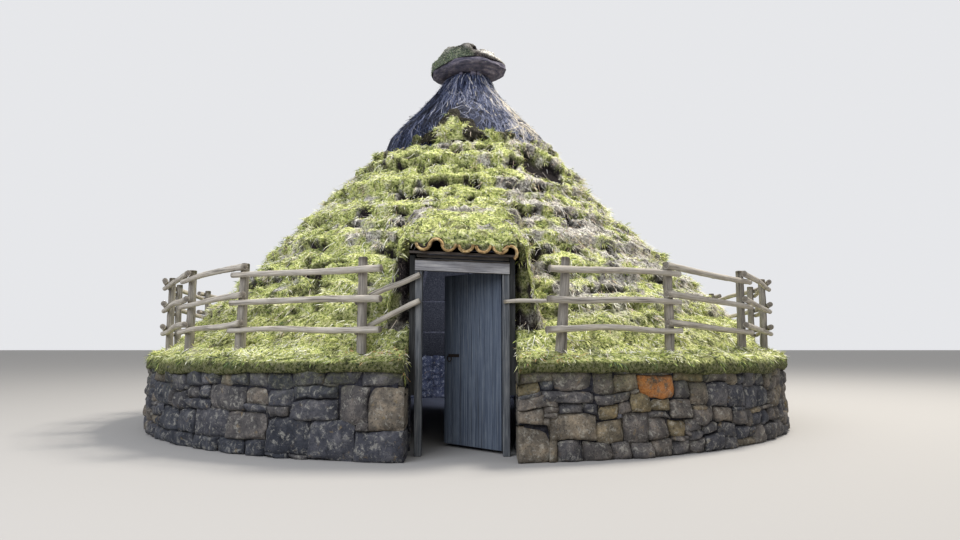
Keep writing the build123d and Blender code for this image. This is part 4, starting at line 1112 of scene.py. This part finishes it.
def buildThatch():
    rng = np.random.default_rng(23)
    profile = capSizes["profile"]
    length = np.linalg.norm(np.diff(profile, axis=0), axis=1).sum()
    columns, rows = 170, 50
    azimuths = np.linspace(0, 360, columns, endpoint=False)
    d = np.repeat(np.linspace(0, length, rows), columns)
    base = capPoint(d, np.tile(azimuths, rows), 0.0)
    ridges = smoothNoise(base * (1, 1, 0.15), 0.07, 41) * 0.02
    ridges = ridges + roughNoise(base * (1, 1, 0.5), 0.3, 2, 42) * 0.05
    fade = step(length, length - 0.25, d)
    points = base + (outwardOf(base) * 0.7 + [0, 0, 0.7]) * (ridges * fade)[:, None]
    tone = 0.12 + 0.2 * smoothNoise(base * (1, 1, 0.1), 0.05, 43)
    ground = (points, gridFaces(rows, columns, closed=True), {"tone": np.clip(tone, 0, 1)})
    count = int(capSizes["strands"] * (1.0))
    start = length * (1 - rng.random(count) ** 0.9) + 0.06
    azimuth = rng.uniform(-180, 180, count)
    around = polar(np.ones(count), azimuth, start)
    bundle = smoothNoise(around * (1, 1, 0.4), 0.13, 44)
    tangled = step(0.1, 0.6, smoothNoise(around, 0.5, 46) + 0.3 * np.sin(np.radians(azimuth)))
    strand = rng.uniform(0.15, 0.6, count)
    segments = 5
    lift = rng.uniform(0.004, 0.045, count) + 0.02 * bundle
    drift = rng.normal(0, 4.0, count) * (1 + 2.5 * tangled) + 7 * bundle
    width = rng.uniform(0.0035, 0.0075, count)
    rings = []
    for j in range(segments + 1):
        t = j / segments
        along = np.clip(start - t * strand, 0.0, length)
        a = azimuth + drift * t + (1.5 + 2.5 * tangled) * np.sin(t * 5 + azimuth)
        loose = np.where(rng.random(count) < 0.12, 0.035 * t * t, 0)
        centre = capPoint(along, a, lift * (0.4 + 0.6 * t) + loose)
        side = np.cross(outwardOf(centre), [0, 0, 1.0])
        w = (width * (1 - 0.5 * t))[:, None]
        tilt = np.array([0, 0, 1.0]) * (rng.normal(0, 0.3, count) * width)[:, None]
        rings.append(np.stack([centre - side * w - tilt, centre + side * w + tilt], 1))
    strips, quads = ribbons(rings)
    z = strips[:, 0, 2]
    underTongue = (np.abs(azimuth + 10) < 14) & (z < 4.56)
    quads = quads[~np.tile(underTongue, segments)]
    # lighter towards the right: painted sunlight
    tone = 0.46 + 0.30 * bundle + rng.normal(0, 0.20, count) + 0.10 * np.sin(np.radians(azimuth))
    # a rotten brown patch high on the right, and painted sunlight on the straw down that side
    rotten = np.exp(-((azimuth - 24) / 14) ** 2 - ((z - 5.20) / 0.10) ** 2)
    sunlitRight = np.exp(-((azimuth - 58) / 22) ** 2) * step(4.30, 4.45, z) * step(5.35, 5.10, z)
    dark = step(0.35, 0.6, smoothNoise(around, 0.22, 47)) * 0.25
    tone = np.clip(tone - 0.5 * rotten - dark + 0.6 * sunlitRight, 0.02, 1)
    strands = (strips.reshape(-1, 3), quads, {"tone": np.repeat(tone, 2 * segments + 2)})
    meshPiece("thatch_strands", [ground, strands], thatchMaterial, "hut", replaces=["thatch_cap"])


buildThatch()


def buildTongue():
    # sods laid up over the straw in front, torn at their edges
    columns, rows = 80, 40
    across, up = np.tile(np.linspace(-1, 1, columns), rows), np.repeat(np.linspace(0, 1, rows), columns)
    flat = np.stack([across * 0.35, up * 0.3, 0 * up], -1)
    azimuth = -8 + 21 * across * (1 - 0.4 * up) + 2.5 * smoothNoise(flat, 0.12, 86)
    crest = np.exp(-((across + 0.1) / 0.45) ** 2)
    height = 4.02 + up * (0.27 + 0.30 * crest + 0.05 * smoothNoise(flat, 0.1, 87))
    profile = capSizes["profile"]
    onTurf = turfSizes["eavesRadius"] - (height - turfSizes["eavesHeight"]) / slopeRise
    base = polar(np.maximum(np.interp(height, profile[:, 1], profile[:, 0]), onTurf - 0.03), azimuth, height)
    edge = np.maximum(np.abs(across), np.abs(up * 2 - 1))
    tussock = np.abs(smoothNoise(base, 0.12, 88)) ** 0.7
    lift = 0.10 + 0.045 * (tussock - 0.5) + 0.03 * roughNoise(base, 0.2, 2, 89)
    lift = lift * (1 - edge ** 7) - 0.03 * edge ** 7
    points = base + (outwardOf(base) * 0.72 + [0, 0, 0.69]) * lift[:, None]
    patchy = smoothNoise(base, 0.11, 90)
    torn = step(0.32, 0.50, np.maximum(np.abs(across), 1.1 * up) + 0.2 * patchy)
    torn = np.clip(torn + step(0.15, 0.45, patchy), 0, 1)
    # painted shade in the creases and on the torn parts
    lush, shade = 1 - 0.95 * torn, np.maximum(0.6 * step(0.4, 0.1, tussock), 0.5 * torn)
    run, dry = np.full(len(points), 4.0), np.full(len(points), 0.1)
    return sodPiece("turf_tongue", points, gridFaces(rows, columns), run, lush, dry, shade)


tongue = buildTongue()
growGrass()
growStems()

# capstone and its sods


def sphereStone(centre, half, seed):
    # a small field stone, knocked about
    rows, columns = 10, 16
    polarAngle = np.linspace(0.02, math.pi - 0.02, rows)[:, None]
    turn = np.linspace(0, 2 * math.pi, columns, endpoint=False)[None, :]
    ball = np.stack([np.sin(polarAngle) * np.cos(turn), np.sin(polarAngle) * np.sin(turn),
                     np.cos(polarAngle) + 0 * turn], -1).reshape(-1, 3)
    ball = np.sign(ball) * np.abs(ball) ** 0.8
    ball = ball * (1 + 0.25 * smoothNoise(ball + seed, 0.9, seed))[:, None]
    return centre + ball * half, gridFaces(rows, columns, closed=True)[:, ::-1], {}


capstoneSizes = {
    "foot": 5.41, "bevel": 0.19, "bevelHeight": 0.085, "edge": 0.085, "tilt": 0.055,
    "reach": (0.620, 0.575, 0.610, 0.560, 0.595, 0.570, 0.625, 0.590, 0.555),
    "wedges": ((0.075, -0.33, 5.395, 0.060), (0.155, -0.31, 5.39, 0.045), (-0.12, -0.32, 5.39, 0.04)),
    # height of the sods over the slab, from left to right
    "heap": ((-0.62, 0.10), (-0.54, 0.24), (-0.42, 0.30), (-0.25, 0.335), (0.0, 0.345), (0.12, 0.325),
             (0.28, 0.25), (0.45, 0.14), (0.58, 0.05), (0.66, 0.02)),
}


def buildCapstone():
    columns = 120
    azimuths = np.linspace(0, 360, columns, endpoint=False)
    corners = np.array(capstoneSizes["reach"] + capstoneSizes["reach"][:1])
    cornerAngles = np.linspace(0, 360, len(corners))
    reach = np.interp(azimuths, cornerAngles, corners)
    z0, bevel = capstoneSizes["foot"], capstoneSizes["bevel"]
    mid = z0 + capstoneSizes["bevelHeight"]
    top = mid + capstoneSizes["edge"]
    # radius and height of each ring: under the slab, up its bevel, up its edge and over its top
    rings = [(0.0, z0), (0.15, z0), (0.28, z0 + 0.004)]
    rings += [(reach - bevel * (1 - t), z0 + 0.008 + (mid - z0) * t ** 1.3) for t in (0, 0.25, 0.5, 0.75)]
    rings += [(reach - 0.02 * t - 0.03 * max(0, t - 0.85) / 0.15, mid + capstoneSizes["edge"] * t)
              for t in (0, 0.2, 0.45, 0.7, 0.9, 1.0)]
    rings += [((reach - 0.06) * r, top + 0.004) for r in (0.9, 0.6, 0.3, 0.0)]
    points = np.concatenate([polar(r, azimuths, z) for r, z in rings])
    flat = smoothNoise(points * (1, 1, 3), 0.22, 51) * 0.022
    flat = flat + smoothNoise(points * (1, 1, 6), 0.07, 52) * 0.012
    onEdge = (points[:, 2] > z0 + 0.006) & (points[:, 2] < top + 0.002)
    points = points + outwardOf(points) * (flat * onEdge)[:, None]
    # the slab lies a little higher on the right
    tilt = capstoneSizes["tilt"] * points[:, 0] * step(z0 + 0.006, z0 + 0.03, points[:, 2])
    uneven = 0.014 * smoothNoise(points, 0.25, 53) * (points[:, 2] > z0 + 0.02)
    points[:, 2] += np.maximum(tilt, -0.02) + uneven
    faces = gridFaces(len(rings), columns, closed=True)
    meshPiece("capstone_slab", [(points, faces, {})], slabMaterial, "hut", replaces=["capstone"])

    # a heap of clods, whole and mossed on the left, torn on the right with a pale crust along its rims and
    # upper ridges, partly painted highlight
    rows, columns = 44, 150
    azimuths = np.linspace(0, 360, columns, endpoint=False)
    edge = np.interp(azimuths, cornerAngles, corners) - 0.01
    climb = np.repeat(np.arange(rows) / (rows - 1), columns) * math.pi / 2
    around = np.tile(azimuths, rows)
    grid = polar(np.tile(edge, rows) * np.cos(climb) ** 0.75, around, np.sin(climb) ** 0.55)
    heap = np.array(capstoneSizes["heap"])
    tall = np.interp(grid[:, 0], heap[:, 0], heap[:, 1])
    tall = tall * np.interp(grid[:, 1], [-0.6, -0.45, 0.2, 0.6], [0.72, 0.95, 1.0, 0.7])
    seat = top + capstoneSizes["tilt"] * grid[:, 0]
    grid[:, 2] = seat - 0.012 + tall * grid[:, 2]
    lump = roughNoise(grid, 0.17, 3, 55)
    small = np.abs(smoothNoise(grid, 0.06, 56))
    torn = step(0.0, 0.25, grid[:, 0] + 0.1 * smoothNoise(grid, 0.2, 58))
    share = np.clip((grid[:, 2] - seat) / 0.3, 0, 1)
    hollow = np.exp(-((grid[:, 0] - 0.15) / 0.15) ** 2 - ((grid[:, 2] - seat - 0.20) / 0.055) ** 2)
    outward = unit(grid * (1, 1, 0) + [0.02, 0, 0])
    push = lump * 0.06 + (small - 0.4) * 0.03 - 0.14 * hollow * (grid[:, 1] < 0.1)
    grid = grid + outward * (push * step(0.0, 0.15, share))[:, None]
    grid[:, 2] += lump * 0.035 * step(0.1, 0.4, share)
    # it droops over the slab's edge on the left
    lip = step(-0.15, -0.5, grid[:, 0]) * step(0.16, 0.0, share)
    grid[:, 2] -= 0.05 * lip
    grid[:, :2] += outward[:, :2] * (0.025 * lip)[:, None]
    grid[:, 2] = np.minimum(grid[:, 2], 5.95)
    lush = step(0.12, -0.25, grid[:, 0] + 0.25 * smoothNoise(grid, 0.2, 57))
    lush = lush * step(0.95, 0.6, share + 0.2 * lump)
    # pale on the upper ridges of the torn side and along a low rim: crust, partly painted highlight
    ridge = step(0.10, 0.30, lump + 0.35 * share) * (0.25 + 0.75 * torn)
    lowRim = np.exp(-((grid[:, 2] - seat - 0.12 + 0.14 * grid[:, 0]) / 0.032) ** 2) * torn
    crust = np.clip(ridge * step(0.3, 0.6, share) + 1.3 * lowRim, 0, 1) * (1 - 0.7 * hollow)
    fields = {"lush": np.clip(lush - hollow, 0, 1), "crust": crust}
    faces = gridFaces(rows, columns, closed=True)
    meshPiece("capstone_sods", [(grid, faces, fields)], mossMaterial, "hut", replaces=["cap_sods"])

    # stones that wedge the slab, and dead grass and moss tips on the heap
    rng = np.random.default_rng(29)
    wedges = [
        sphereStone(np.array([x, y, z]), (size * 0.8, size, size * 0.9), 61 + int(x * 100))
        for x, y, z, size in capstoneSizes["wedges"]]
    meshPiece("capstone_wedges", wedges, slabMaterial, "hut")
    count = 1500
    weight = 0.1 + fields["lush"][faces].mean(axis=1)
    place, normal, _ = sampleSurface(grid, faces, weight, count, rng)
    direction = unit(normal + [0, 0, 0.3] + rng.normal(0, 0.45, (count, 3)))
    bend = unit(rng.normal(0, 0.6, (count, 3)) + [0, 0, -0.6])
    length = rng.uniform(0.015, 0.04, count)
    width = rng.uniform(0.0015, 0.003, count)
    hue = np.where(rng.random(count) < 0.55, rng.uniform(0.0, 0.3, count), rng.uniform(0.88, 1.0, count))
    facing = unit(rng.normal(0, 1, (count, 3)))
    blades = bladeStrips(place - normal * 0.006, direction, bend, length, width, facing, hue)
    meshPiece("capstone_sod_grass", [blades], leafMaterial, "hut", smooth=False)


buildCapstone()

# poles of the fence and roof


def poleAxis(solid):
    # a pole's two ends and their radii, from its CAD solid
    centre = solid.mean(axis=0)
    axis = np.linalg.eigh(np.cov((solid - centre).T))[1][:, -1]
    along = (solid - centre) @ axis
    ends = []
    for side in (along.min(), along.max()):
        near = solid[np.abs(along - side) < 0.008]
        middle = near.mean(axis=0)
        ends.append((middle, np.linalg.norm(near - middle, axis=1).max()))
    return ends


def roughPole(ends, seed, spacing, wobble, sides):
    # a barked pole that wanders a little between its ends, with three knots
    (a, ra), (b, rb) = ends
    rng = np.random.default_rng(seed)
    length = np.linalg.norm(b - a)
    axis = (b - a) / length
    helper = np.array([0, 0, 1.0]) if abs(axis[2]) < 0.8 else np.array([1.0, 0, 0])
    e1 = unit(np.cross(axis, helper))
    e2 = np.cross(axis, e1)
    rows = max(4, int(length / spacing)) + 1
    t = np.linspace(0, 1, rows)
    angle = np.linspace(0, 2 * math.pi, sides, endpoint=False)
    sway = np.zeros((rows, 2))
    for k in (1, 2, 3):
        wave = np.sin(np.outer(t * math.pi * k, [1, 1]) + rng.uniform(0, 6.3, 2))
        sway += wave * rng.normal(0, wobble / k, 2)
    sway -= sway[0] * (1 - t)[:, None] + sway[-1] * t[:, None]
    radius = (ra + (rb - ra) * t)[:, None] * (1 + 0.035 * np.sin(2 * angle + rng.uniform(0, 6)))[None, :]
    radius = radius * (1 + 0.03 * rng.normal(0, 1, (rows, 1)))
    for _ in range(3):
        at, turn = rng.uniform(0.05, 0.95), rng.uniform(0, 6.3)
        knot = np.exp(-(np.sin((angle - turn) / 2) / 0.35) ** 2)[None, :]
        near = np.exp(-((t - at) * length / 0.035) ** 2)[:, None] * knot
        radius = radius * (1 + 0.16 * near)
    ring = np.cos(angle)[None, :, None] * e1 + np.sin(angle)[None, :, None] * e2
    centre = a + (b - a) * t[:, None] + sway[:, :1] * e1 + sway[:, 1:] * e2
    points = (centre[:, None, :] + ring * radius[:, :, None]).reshape(-1, 3)
    lay = np.broadcast_arrays(np.cos(angle) * ra, np.sin(angle) * ra, (t * length)[:, None])
    grain = np.stack(lay, -1).reshape(-1, 3) + seed * 0.37
    faces = [gridFaces(rows, sides, closed=True)]
    cut = np.zeros(len(points))
    for row, sign in ((0, -1), (rows - 1, 1)):
        # sawn ends: a worn edge, then a slightly domed face
        rim = np.arange(sides) + row * sides
        inner = points[rim] + (centre[row] - points[rim]) * 0.22 + sign * axis * 0.006
        middle = centre[row] + sign * axis * 0.008
        first = len(points)
        points = np.concatenate([points, inner, middle[None]])
        grain = np.concatenate([grain, grain[rim], grain[rim].mean(axis=0)[None]])
        cut = np.concatenate([cut, np.full(sides, 0.9), [1.0]])
        ringNow = np.arange(sides) + first
        band = np.stack([rim, np.roll(rim, -1), np.roll(ringNow, -1), ringNow], -1)
        fan = np.stack([ringNow, np.roll(ringNow, -1), np.full(sides, first + sides)], -1)
        faces += [band[:, ::-1], fan[:, ::-1]] if sign < 0 else [band, fan]
    faces[0] = faces[0][:, ::-1]
    return points, faces, {"grain": grain, "cut": cut}


poleSets = {
    # node: (spacing of rings, sway, sides, material)
    "fence_posts": (0.06, 0.004, 14, postWoodShaded),
    "fence_top_rails": (0.05, 0.009, 10, fenceWood),
    "fence_middle_rails": (0.05, 0.009, 10, fenceWood),
    "fence_bottom_rails": (0.05, 0.009, 10, fenceWood),
    "jamb_rails": (0.05, 0.006, 10, fenceWood),
}


def buildPoles():
    seed = 300
    for nodeName, (spacing, wobble, sides, material) in poleSets.items():
        parts = []
        for solid in looseSolids(nodeName):
            seed += 1
            parts.append(roughPole(poleAxis(solid), seed, spacing, wobble, sides))
        meshPiece(nodeName + "_rough", parts, material, "hut", replaces=[nodeName])


buildPoles()

# door frame, boards, tiles


def woodBlock(low, high, seed, grainAxis, edge, wear, cells=0.05, place=None):
    # a sawn timber with worn edges; place moves it from its own box into the hut
    rng = np.random.default_rng(seed)
    low, high = np.array(low, float), np.array(high, float)
    bm = bmesh.new()
    bmesh.ops.create_cube(bm, size=1.0)
    for v in bm.verts:
        v.co = (np.array(v.co) + 0.5) * (high - low) + low
    bmesh.ops.bevel(bm, geom=bm.edges[:], offset=edge, segments=2, profile=0.6, affect="EDGES")
    longAxis = int(np.argmax(high - low))
    normal = np.eye(3)[longAxis]
    for cutAt in np.arange(low[longAxis] + cells, high[longAxis] - cells / 2, cells):
        everything = bm.verts[:] + bm.edges[:] + bm.faces[:]
        bmesh.ops.bisect_plane(bm, geom=everything, plane_co=normal * cutAt, plane_no=normal)
    bmesh.ops.triangulate(bm, faces=bm.faces[:])
    # the order in which bisecting leaves them differs from run to run, so points and triangles are sorted
    bm.verts.index_update()
    points = np.array([v.co for v in bm.verts])
    order = np.lexsort(np.round(points, 5).T)
    points, rank, faces = points[order], np.argsort(order), []
    for face in bm.faces:
        a, b, c = (int(rank[v.index]) for v in face.verts)
        faces.append(min((a, b, c), (b, c, a), (c, a, b)))
    faces = np.array(sorted(faces))
    bm.free()
    centre = (low + high) / 2
    drift = smoothNoise(points + seed * 3.1, 0.16, seed) * wear
    drift = drift + smoothNoise(points + seed, 0.05, seed + 1) * wear * 0.5
    across = np.sign(points - centre)
    across[:, longAxis] = 0
    points = points - across * np.abs(drift)[:, None]
    order = [i for i in range(3) if i != grainAxis] + [grainAxis]
    grain = points[:, order] + rng.uniform(0, 40)
    onEnd = np.minimum(points[:, longAxis] - low[longAxis], high[longAxis] - points[:, longAxis]) < 0.002
    cut = onEnd.astype(float) * 0.7
    if place is not None:
        points = place(points)
    return points, faces, {"grain": grain, "cut": cut}


def sunk(points):
    moved = points.copy()
    moved[:, 2] += tileFall(points[:, 0]) * 0.85
    return moved


def onDeck(points):
    # from a level board to the deck's slope over the head
    moved = points.copy()
    moved[:, 2] += 2.010 + (points[:, 1] + 4.13) * tileRow["slope"]
    return sunk(moved)


def buildFrame():
    # jambs, head and boards over the doorway
    parts = []
    for seed, solid in enumerate(looseSolids("door_jambs")):
        low, high = solid.min(axis=0), solid.max(axis=0)
        high[2] += 0.018 if high[0] < 0 else 0.0
        parts.append(woodBlock(low, high, 500 + seed, 2, 0.006, 0.003))
    meshPiece("door_jambs_worn", parts, frameWood, "hut", replaces=["door_jambs"])
    low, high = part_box("lintel_board")
    parts = [woodBlock(low, high, 510, 0, 0.004, 0.004, 0.04, sunk)]
    meshPiece("lintel_board_worn", parts, lintelWood, "hut", replaces=["lintel_board"])
    (x0, y0, z0), (x1, y1, _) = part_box("head_beam")
    parts = [
        woodBlock((x0, y0, z0), (x1, y1, 1.962), 514, 0, 0.005, 0.005, 0.04, sunk),
        woodBlock((x0 + 0.012, y0 + 0.008, 1.972), (x1 - 0.004, y1 - 0.01, 2.006), 517, 0, 0.004, 0.005, 0.04,
                  sunk)]
    meshPiece("head_boards_worn", parts, darkWood, "hut", replaces=["head_beam"])
    (x0, y0, _), (x1, y1, _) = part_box("tile_deck")
    parts = [woodBlock((x0, y0, 0.0), (x1, y1, 0.028), 520, 0, 0.003, 0.003, 0.05, onDeck)]
    meshPiece("tile_deck_worn", parts, darkWood, "hut", replaces=["tile_deck"])


def buildDoor():
    # planks on three ledges, drawn square to the leaf and turned to where it stands
    pin = np.array([0.45, -3.9635])
    turn = math.radians(-45)
    spin = np.array([[math.cos(turn), -math.sin(turn)], [math.sin(turn), math.cos(turn)]])

    def place(points):
        return np.column_stack([points[:, :2] @ spin.T + pin, points[:, 2]])

    for name, nodeName, firstSeed, grainAxis, edge in (
            ("door_planks", "door_boards", 520, 2, 0.003),
            ("door_ledges_worn", "door_ledges", 540, 0, 0.004)):
        parts = []
        for seed, solid in enumerate(looseSolids(nodeName)):
            own = np.column_stack([(solid[:, :2] - pin) @ spin, solid[:, 2]])
            low, high = own.min(axis=0), own.max(axis=0)
            parts.append(woodBlock(low, high, firstSeed + seed, grainAxis, edge, 0.002, 0.06, place))
        meshPiece(name, parts, doorWood, "door", replaces=[nodeName])


buildFrame()
buildDoor()


def tileShell(x, rims, isPan, seed, turn=0.0, spread=math.pi):
    # a half-round tile with a thick worn front edge; turn rolls it about its own axis
    rng = np.random.default_rng(560 + seed)
    rows, sides = tileRow["rows"], tileRow["sides"]
    t = np.linspace(0, 1, rows)
    t = t ** 1.6
    y = tileRow["front"] + rng.uniform(-0.006, 0.012) + tileRow["length"] * t * math.cos(math.radians(8))
    axisHeight = rims + (y - tileRow["front"]) * tileRow["slope"] + tileFall(np.array([x]))[0]
    angle = np.linspace(0, spread, sides) + (math.pi if isPan else 0) + turn - (spread - math.pi) / 2
    rings = []
    for radius in (tileRow["radius"], tileRow["radius"] - tileRow["thickness"]):
        wobble = 1 + 0.025 * np.sin(t * 7 + rng.uniform(0, 6))[:, None]
        wobble = wobble + 0.02 * np.sin(angle * 3 + seed)[None, :]
        worn = np.where(radius > 0.07, -1, 1) * tileRow["lip"] * (t < 0.001)[:, None]
        px = x + np.cos(angle)[None, :] * (radius * wobble + worn)
        pz = axisHeight[:, None] + np.sin(angle)[None, :] * (radius * wobble + worn)
        py = y[:, None] + 0.007 * np.sin(angle * 4 + seed * 2)[None, :] * (t < 0.02)[:, None]
        rings.append(np.stack([px, py, pz], -1))
    shell = np.stack(rings).reshape(-1, 3)
    n = rows * sides
    faces = [gridFaces(rows, sides), gridFaces(rows, sides)[:, ::-1] + n]
    index = np.arange(n).reshape(rows, sides)
    for line in (index[0], index[-1][::-1], index[:, -1], index[::-1, 0]):
        faces.append(np.stack([line[:-1], line[1:], line[1:] + n, line[:-1] + n], -1))
    rim = np.tile(np.repeat(step(0.08, 0.0, t), sides), 2)
    return shell, faces, {"tone": np.full(len(shell), rng.uniform(0.2, 0.9)), "rim": rim}


def buildTiles():
    # five pans in a row, one cover over the first two, and one that has rolled down at the right end
    rims = tileRow["rims"]
    parts = [tileShell(x, rims, True, seed) for seed, x in enumerate(tileRow["pans"])]
    (first, last), (rise, lastRise) = tileRow["covers"], tileRow["coverRise"]
    parts.append(tileShell(first, rims + rise, False, 10))
    parts.append(tileShell(last, rims + lastRise - 0.012, False, 11, math.radians(-38), math.radians(215)))
    meshPiece("roof_tiles_over_door", parts, clayMaterial, "hut", replaces=["door_tiles"])


buildTiles()

# CAD pieces that keep their shape

# old oak, painted nearly black as shade and drawn with grain 20 mm wide, and smoked chestnut poles: nearly
# black
cheekMaterial = finish("oakCheekPaintedShade", 0.9, 0.25, {"fibre": (1.0, 6.0, 0.68, 0.35, (50, 50, 3))}, [
    ("fibre", (0.25, "#151616"), (0.5, "#272828"), (0.75, "#434443"))], [("fibre", 1.0)], (0.6, 0.005))
roofPoleMaterial = finish("chestnutPoleDark", 0.9, 0.25, {"fibre": (1.0, 6.0, 0.68, 0.35, (30, 30, 30))}, [
    ("fibre", (0.25, "#1b1a1a"), (0.5, "#363432"), (0.75, "#5a5650"))], [("fibre", 1.0)], (0.6, 0.005))
for nodeName, material in {
    "cheek_boards": cheekMaterial, "rafters": roofPoleMaterial, "hoops": roofPoleMaterial,
    "brush_lining": brushMaterial, "strap_hinges": ironMaterial, "latch": ironMaterial,
    "pintles": ironMaterial,
}.items():
    for slot in cad[nodeName].material_slots:
        slot.material = material
    if not cad[nodeName].material_slots:
        cad[nodeName].data.materials.append(material)

# stage, light and camera


def buildStage():
    mesh = bpy.data.meshes.new("floor")
    mesh.from_pydata([(-90, -60, 0), (90, -60, 0), (90, 120, 0), (-90, 120, 0)], [], [(0, 1, 2, 3)])
    mesh.materials.append(finish("paleFloor", 0.9, 0.1, {}, "#a6a4a1"))
    floor = bpy.data.objects.new("floor", mesh)
    bpy.context.scene.collection.objects.link(floor)

    world = bpy.data.worlds.new("studio")
    bpy.context.scene.world = world
    world.use_nodes = True
    tree = world.node_tree
    seen = 0.0
    for ray in ("Is Camera Ray", "Is Glossy Ray", "Is Transmission Ray"):
        seen = addNode(tree, "Math", {0: addNode(tree, "LightPath", {}, ray), 1: seen}, operation="MAXIMUM")
    strength = addNode(tree, "Mix", {0: seen, 2: 0.76, 3: 0.86}, data_type="FLOAT")
    setInputs(tree, tree.nodes["Background"], {"Color": srgb("#f6f7fa"), "Strength": strength})

    lamps = {
        # name: (place, aimed at, width, watts, colour, spread)
        "key_right": ((7.5, 2.0, 19.0), (0, 0, 1.5), 4.5, 5400, "#fff9f0", 180),
        "fill_front_left": ((-7.0, -14.0, 9.0), (0, 0, 1.8), 10.0, 1450, "#eef3ff", 180),
        "inside_glow": ((0.4, -0.6, 1.0), (-0.3, 3.0, 1.7), 0.8, 60, "#c0ccf4", 70),
    }
    for name, (place, aim, width, watts, colour, spread) in lamps.items():
        lamp = bpy.data.lights.new(name, "AREA")
        lamp.spread = math.radians(spread)
        lamp.size = width
        lamp.energy = watts
        lamp.color = srgb(colour)[:3]
        holder = bpy.data.objects.new(name, lamp)
        bpy.context.scene.collection.objects.link(holder)
        direction = np.array(aim, float) - np.array(place, float)
        yaw = math.atan2(direction[1], direction[0])
        pitch = math.atan2(direction[2], math.hypot(direction[0], direction[1]))
        holder.location = place
        holder.rotation_euler = (math.pi / 2 + pitch, 0, yaw - math.pi / 2)


def setCamera():
    # a phone held low, 11.4 m from the hut's middle
    focal, width, horizon = 720.0, 960, 344.0
    data = bpy.data.cameras.new("camera")
    data.sensor_width = 36.0
    data.lens = 36.0 * focal / width
    camera = bpy.data.objects.new("camera", data)
    bpy.context.scene.collection.objects.link(camera)
    camera.location = (0.179, -11.4, 1.11)
    camera.rotation_euler = (math.pi / 2 + math.atan((horizon - 270.0) / focal), 0, 0)
    bpy.context.scene.camera = camera
    bpy.context.scene.view_settings.view_transform = "Standard"


buildStage()
setCamera()
print("scene ready")
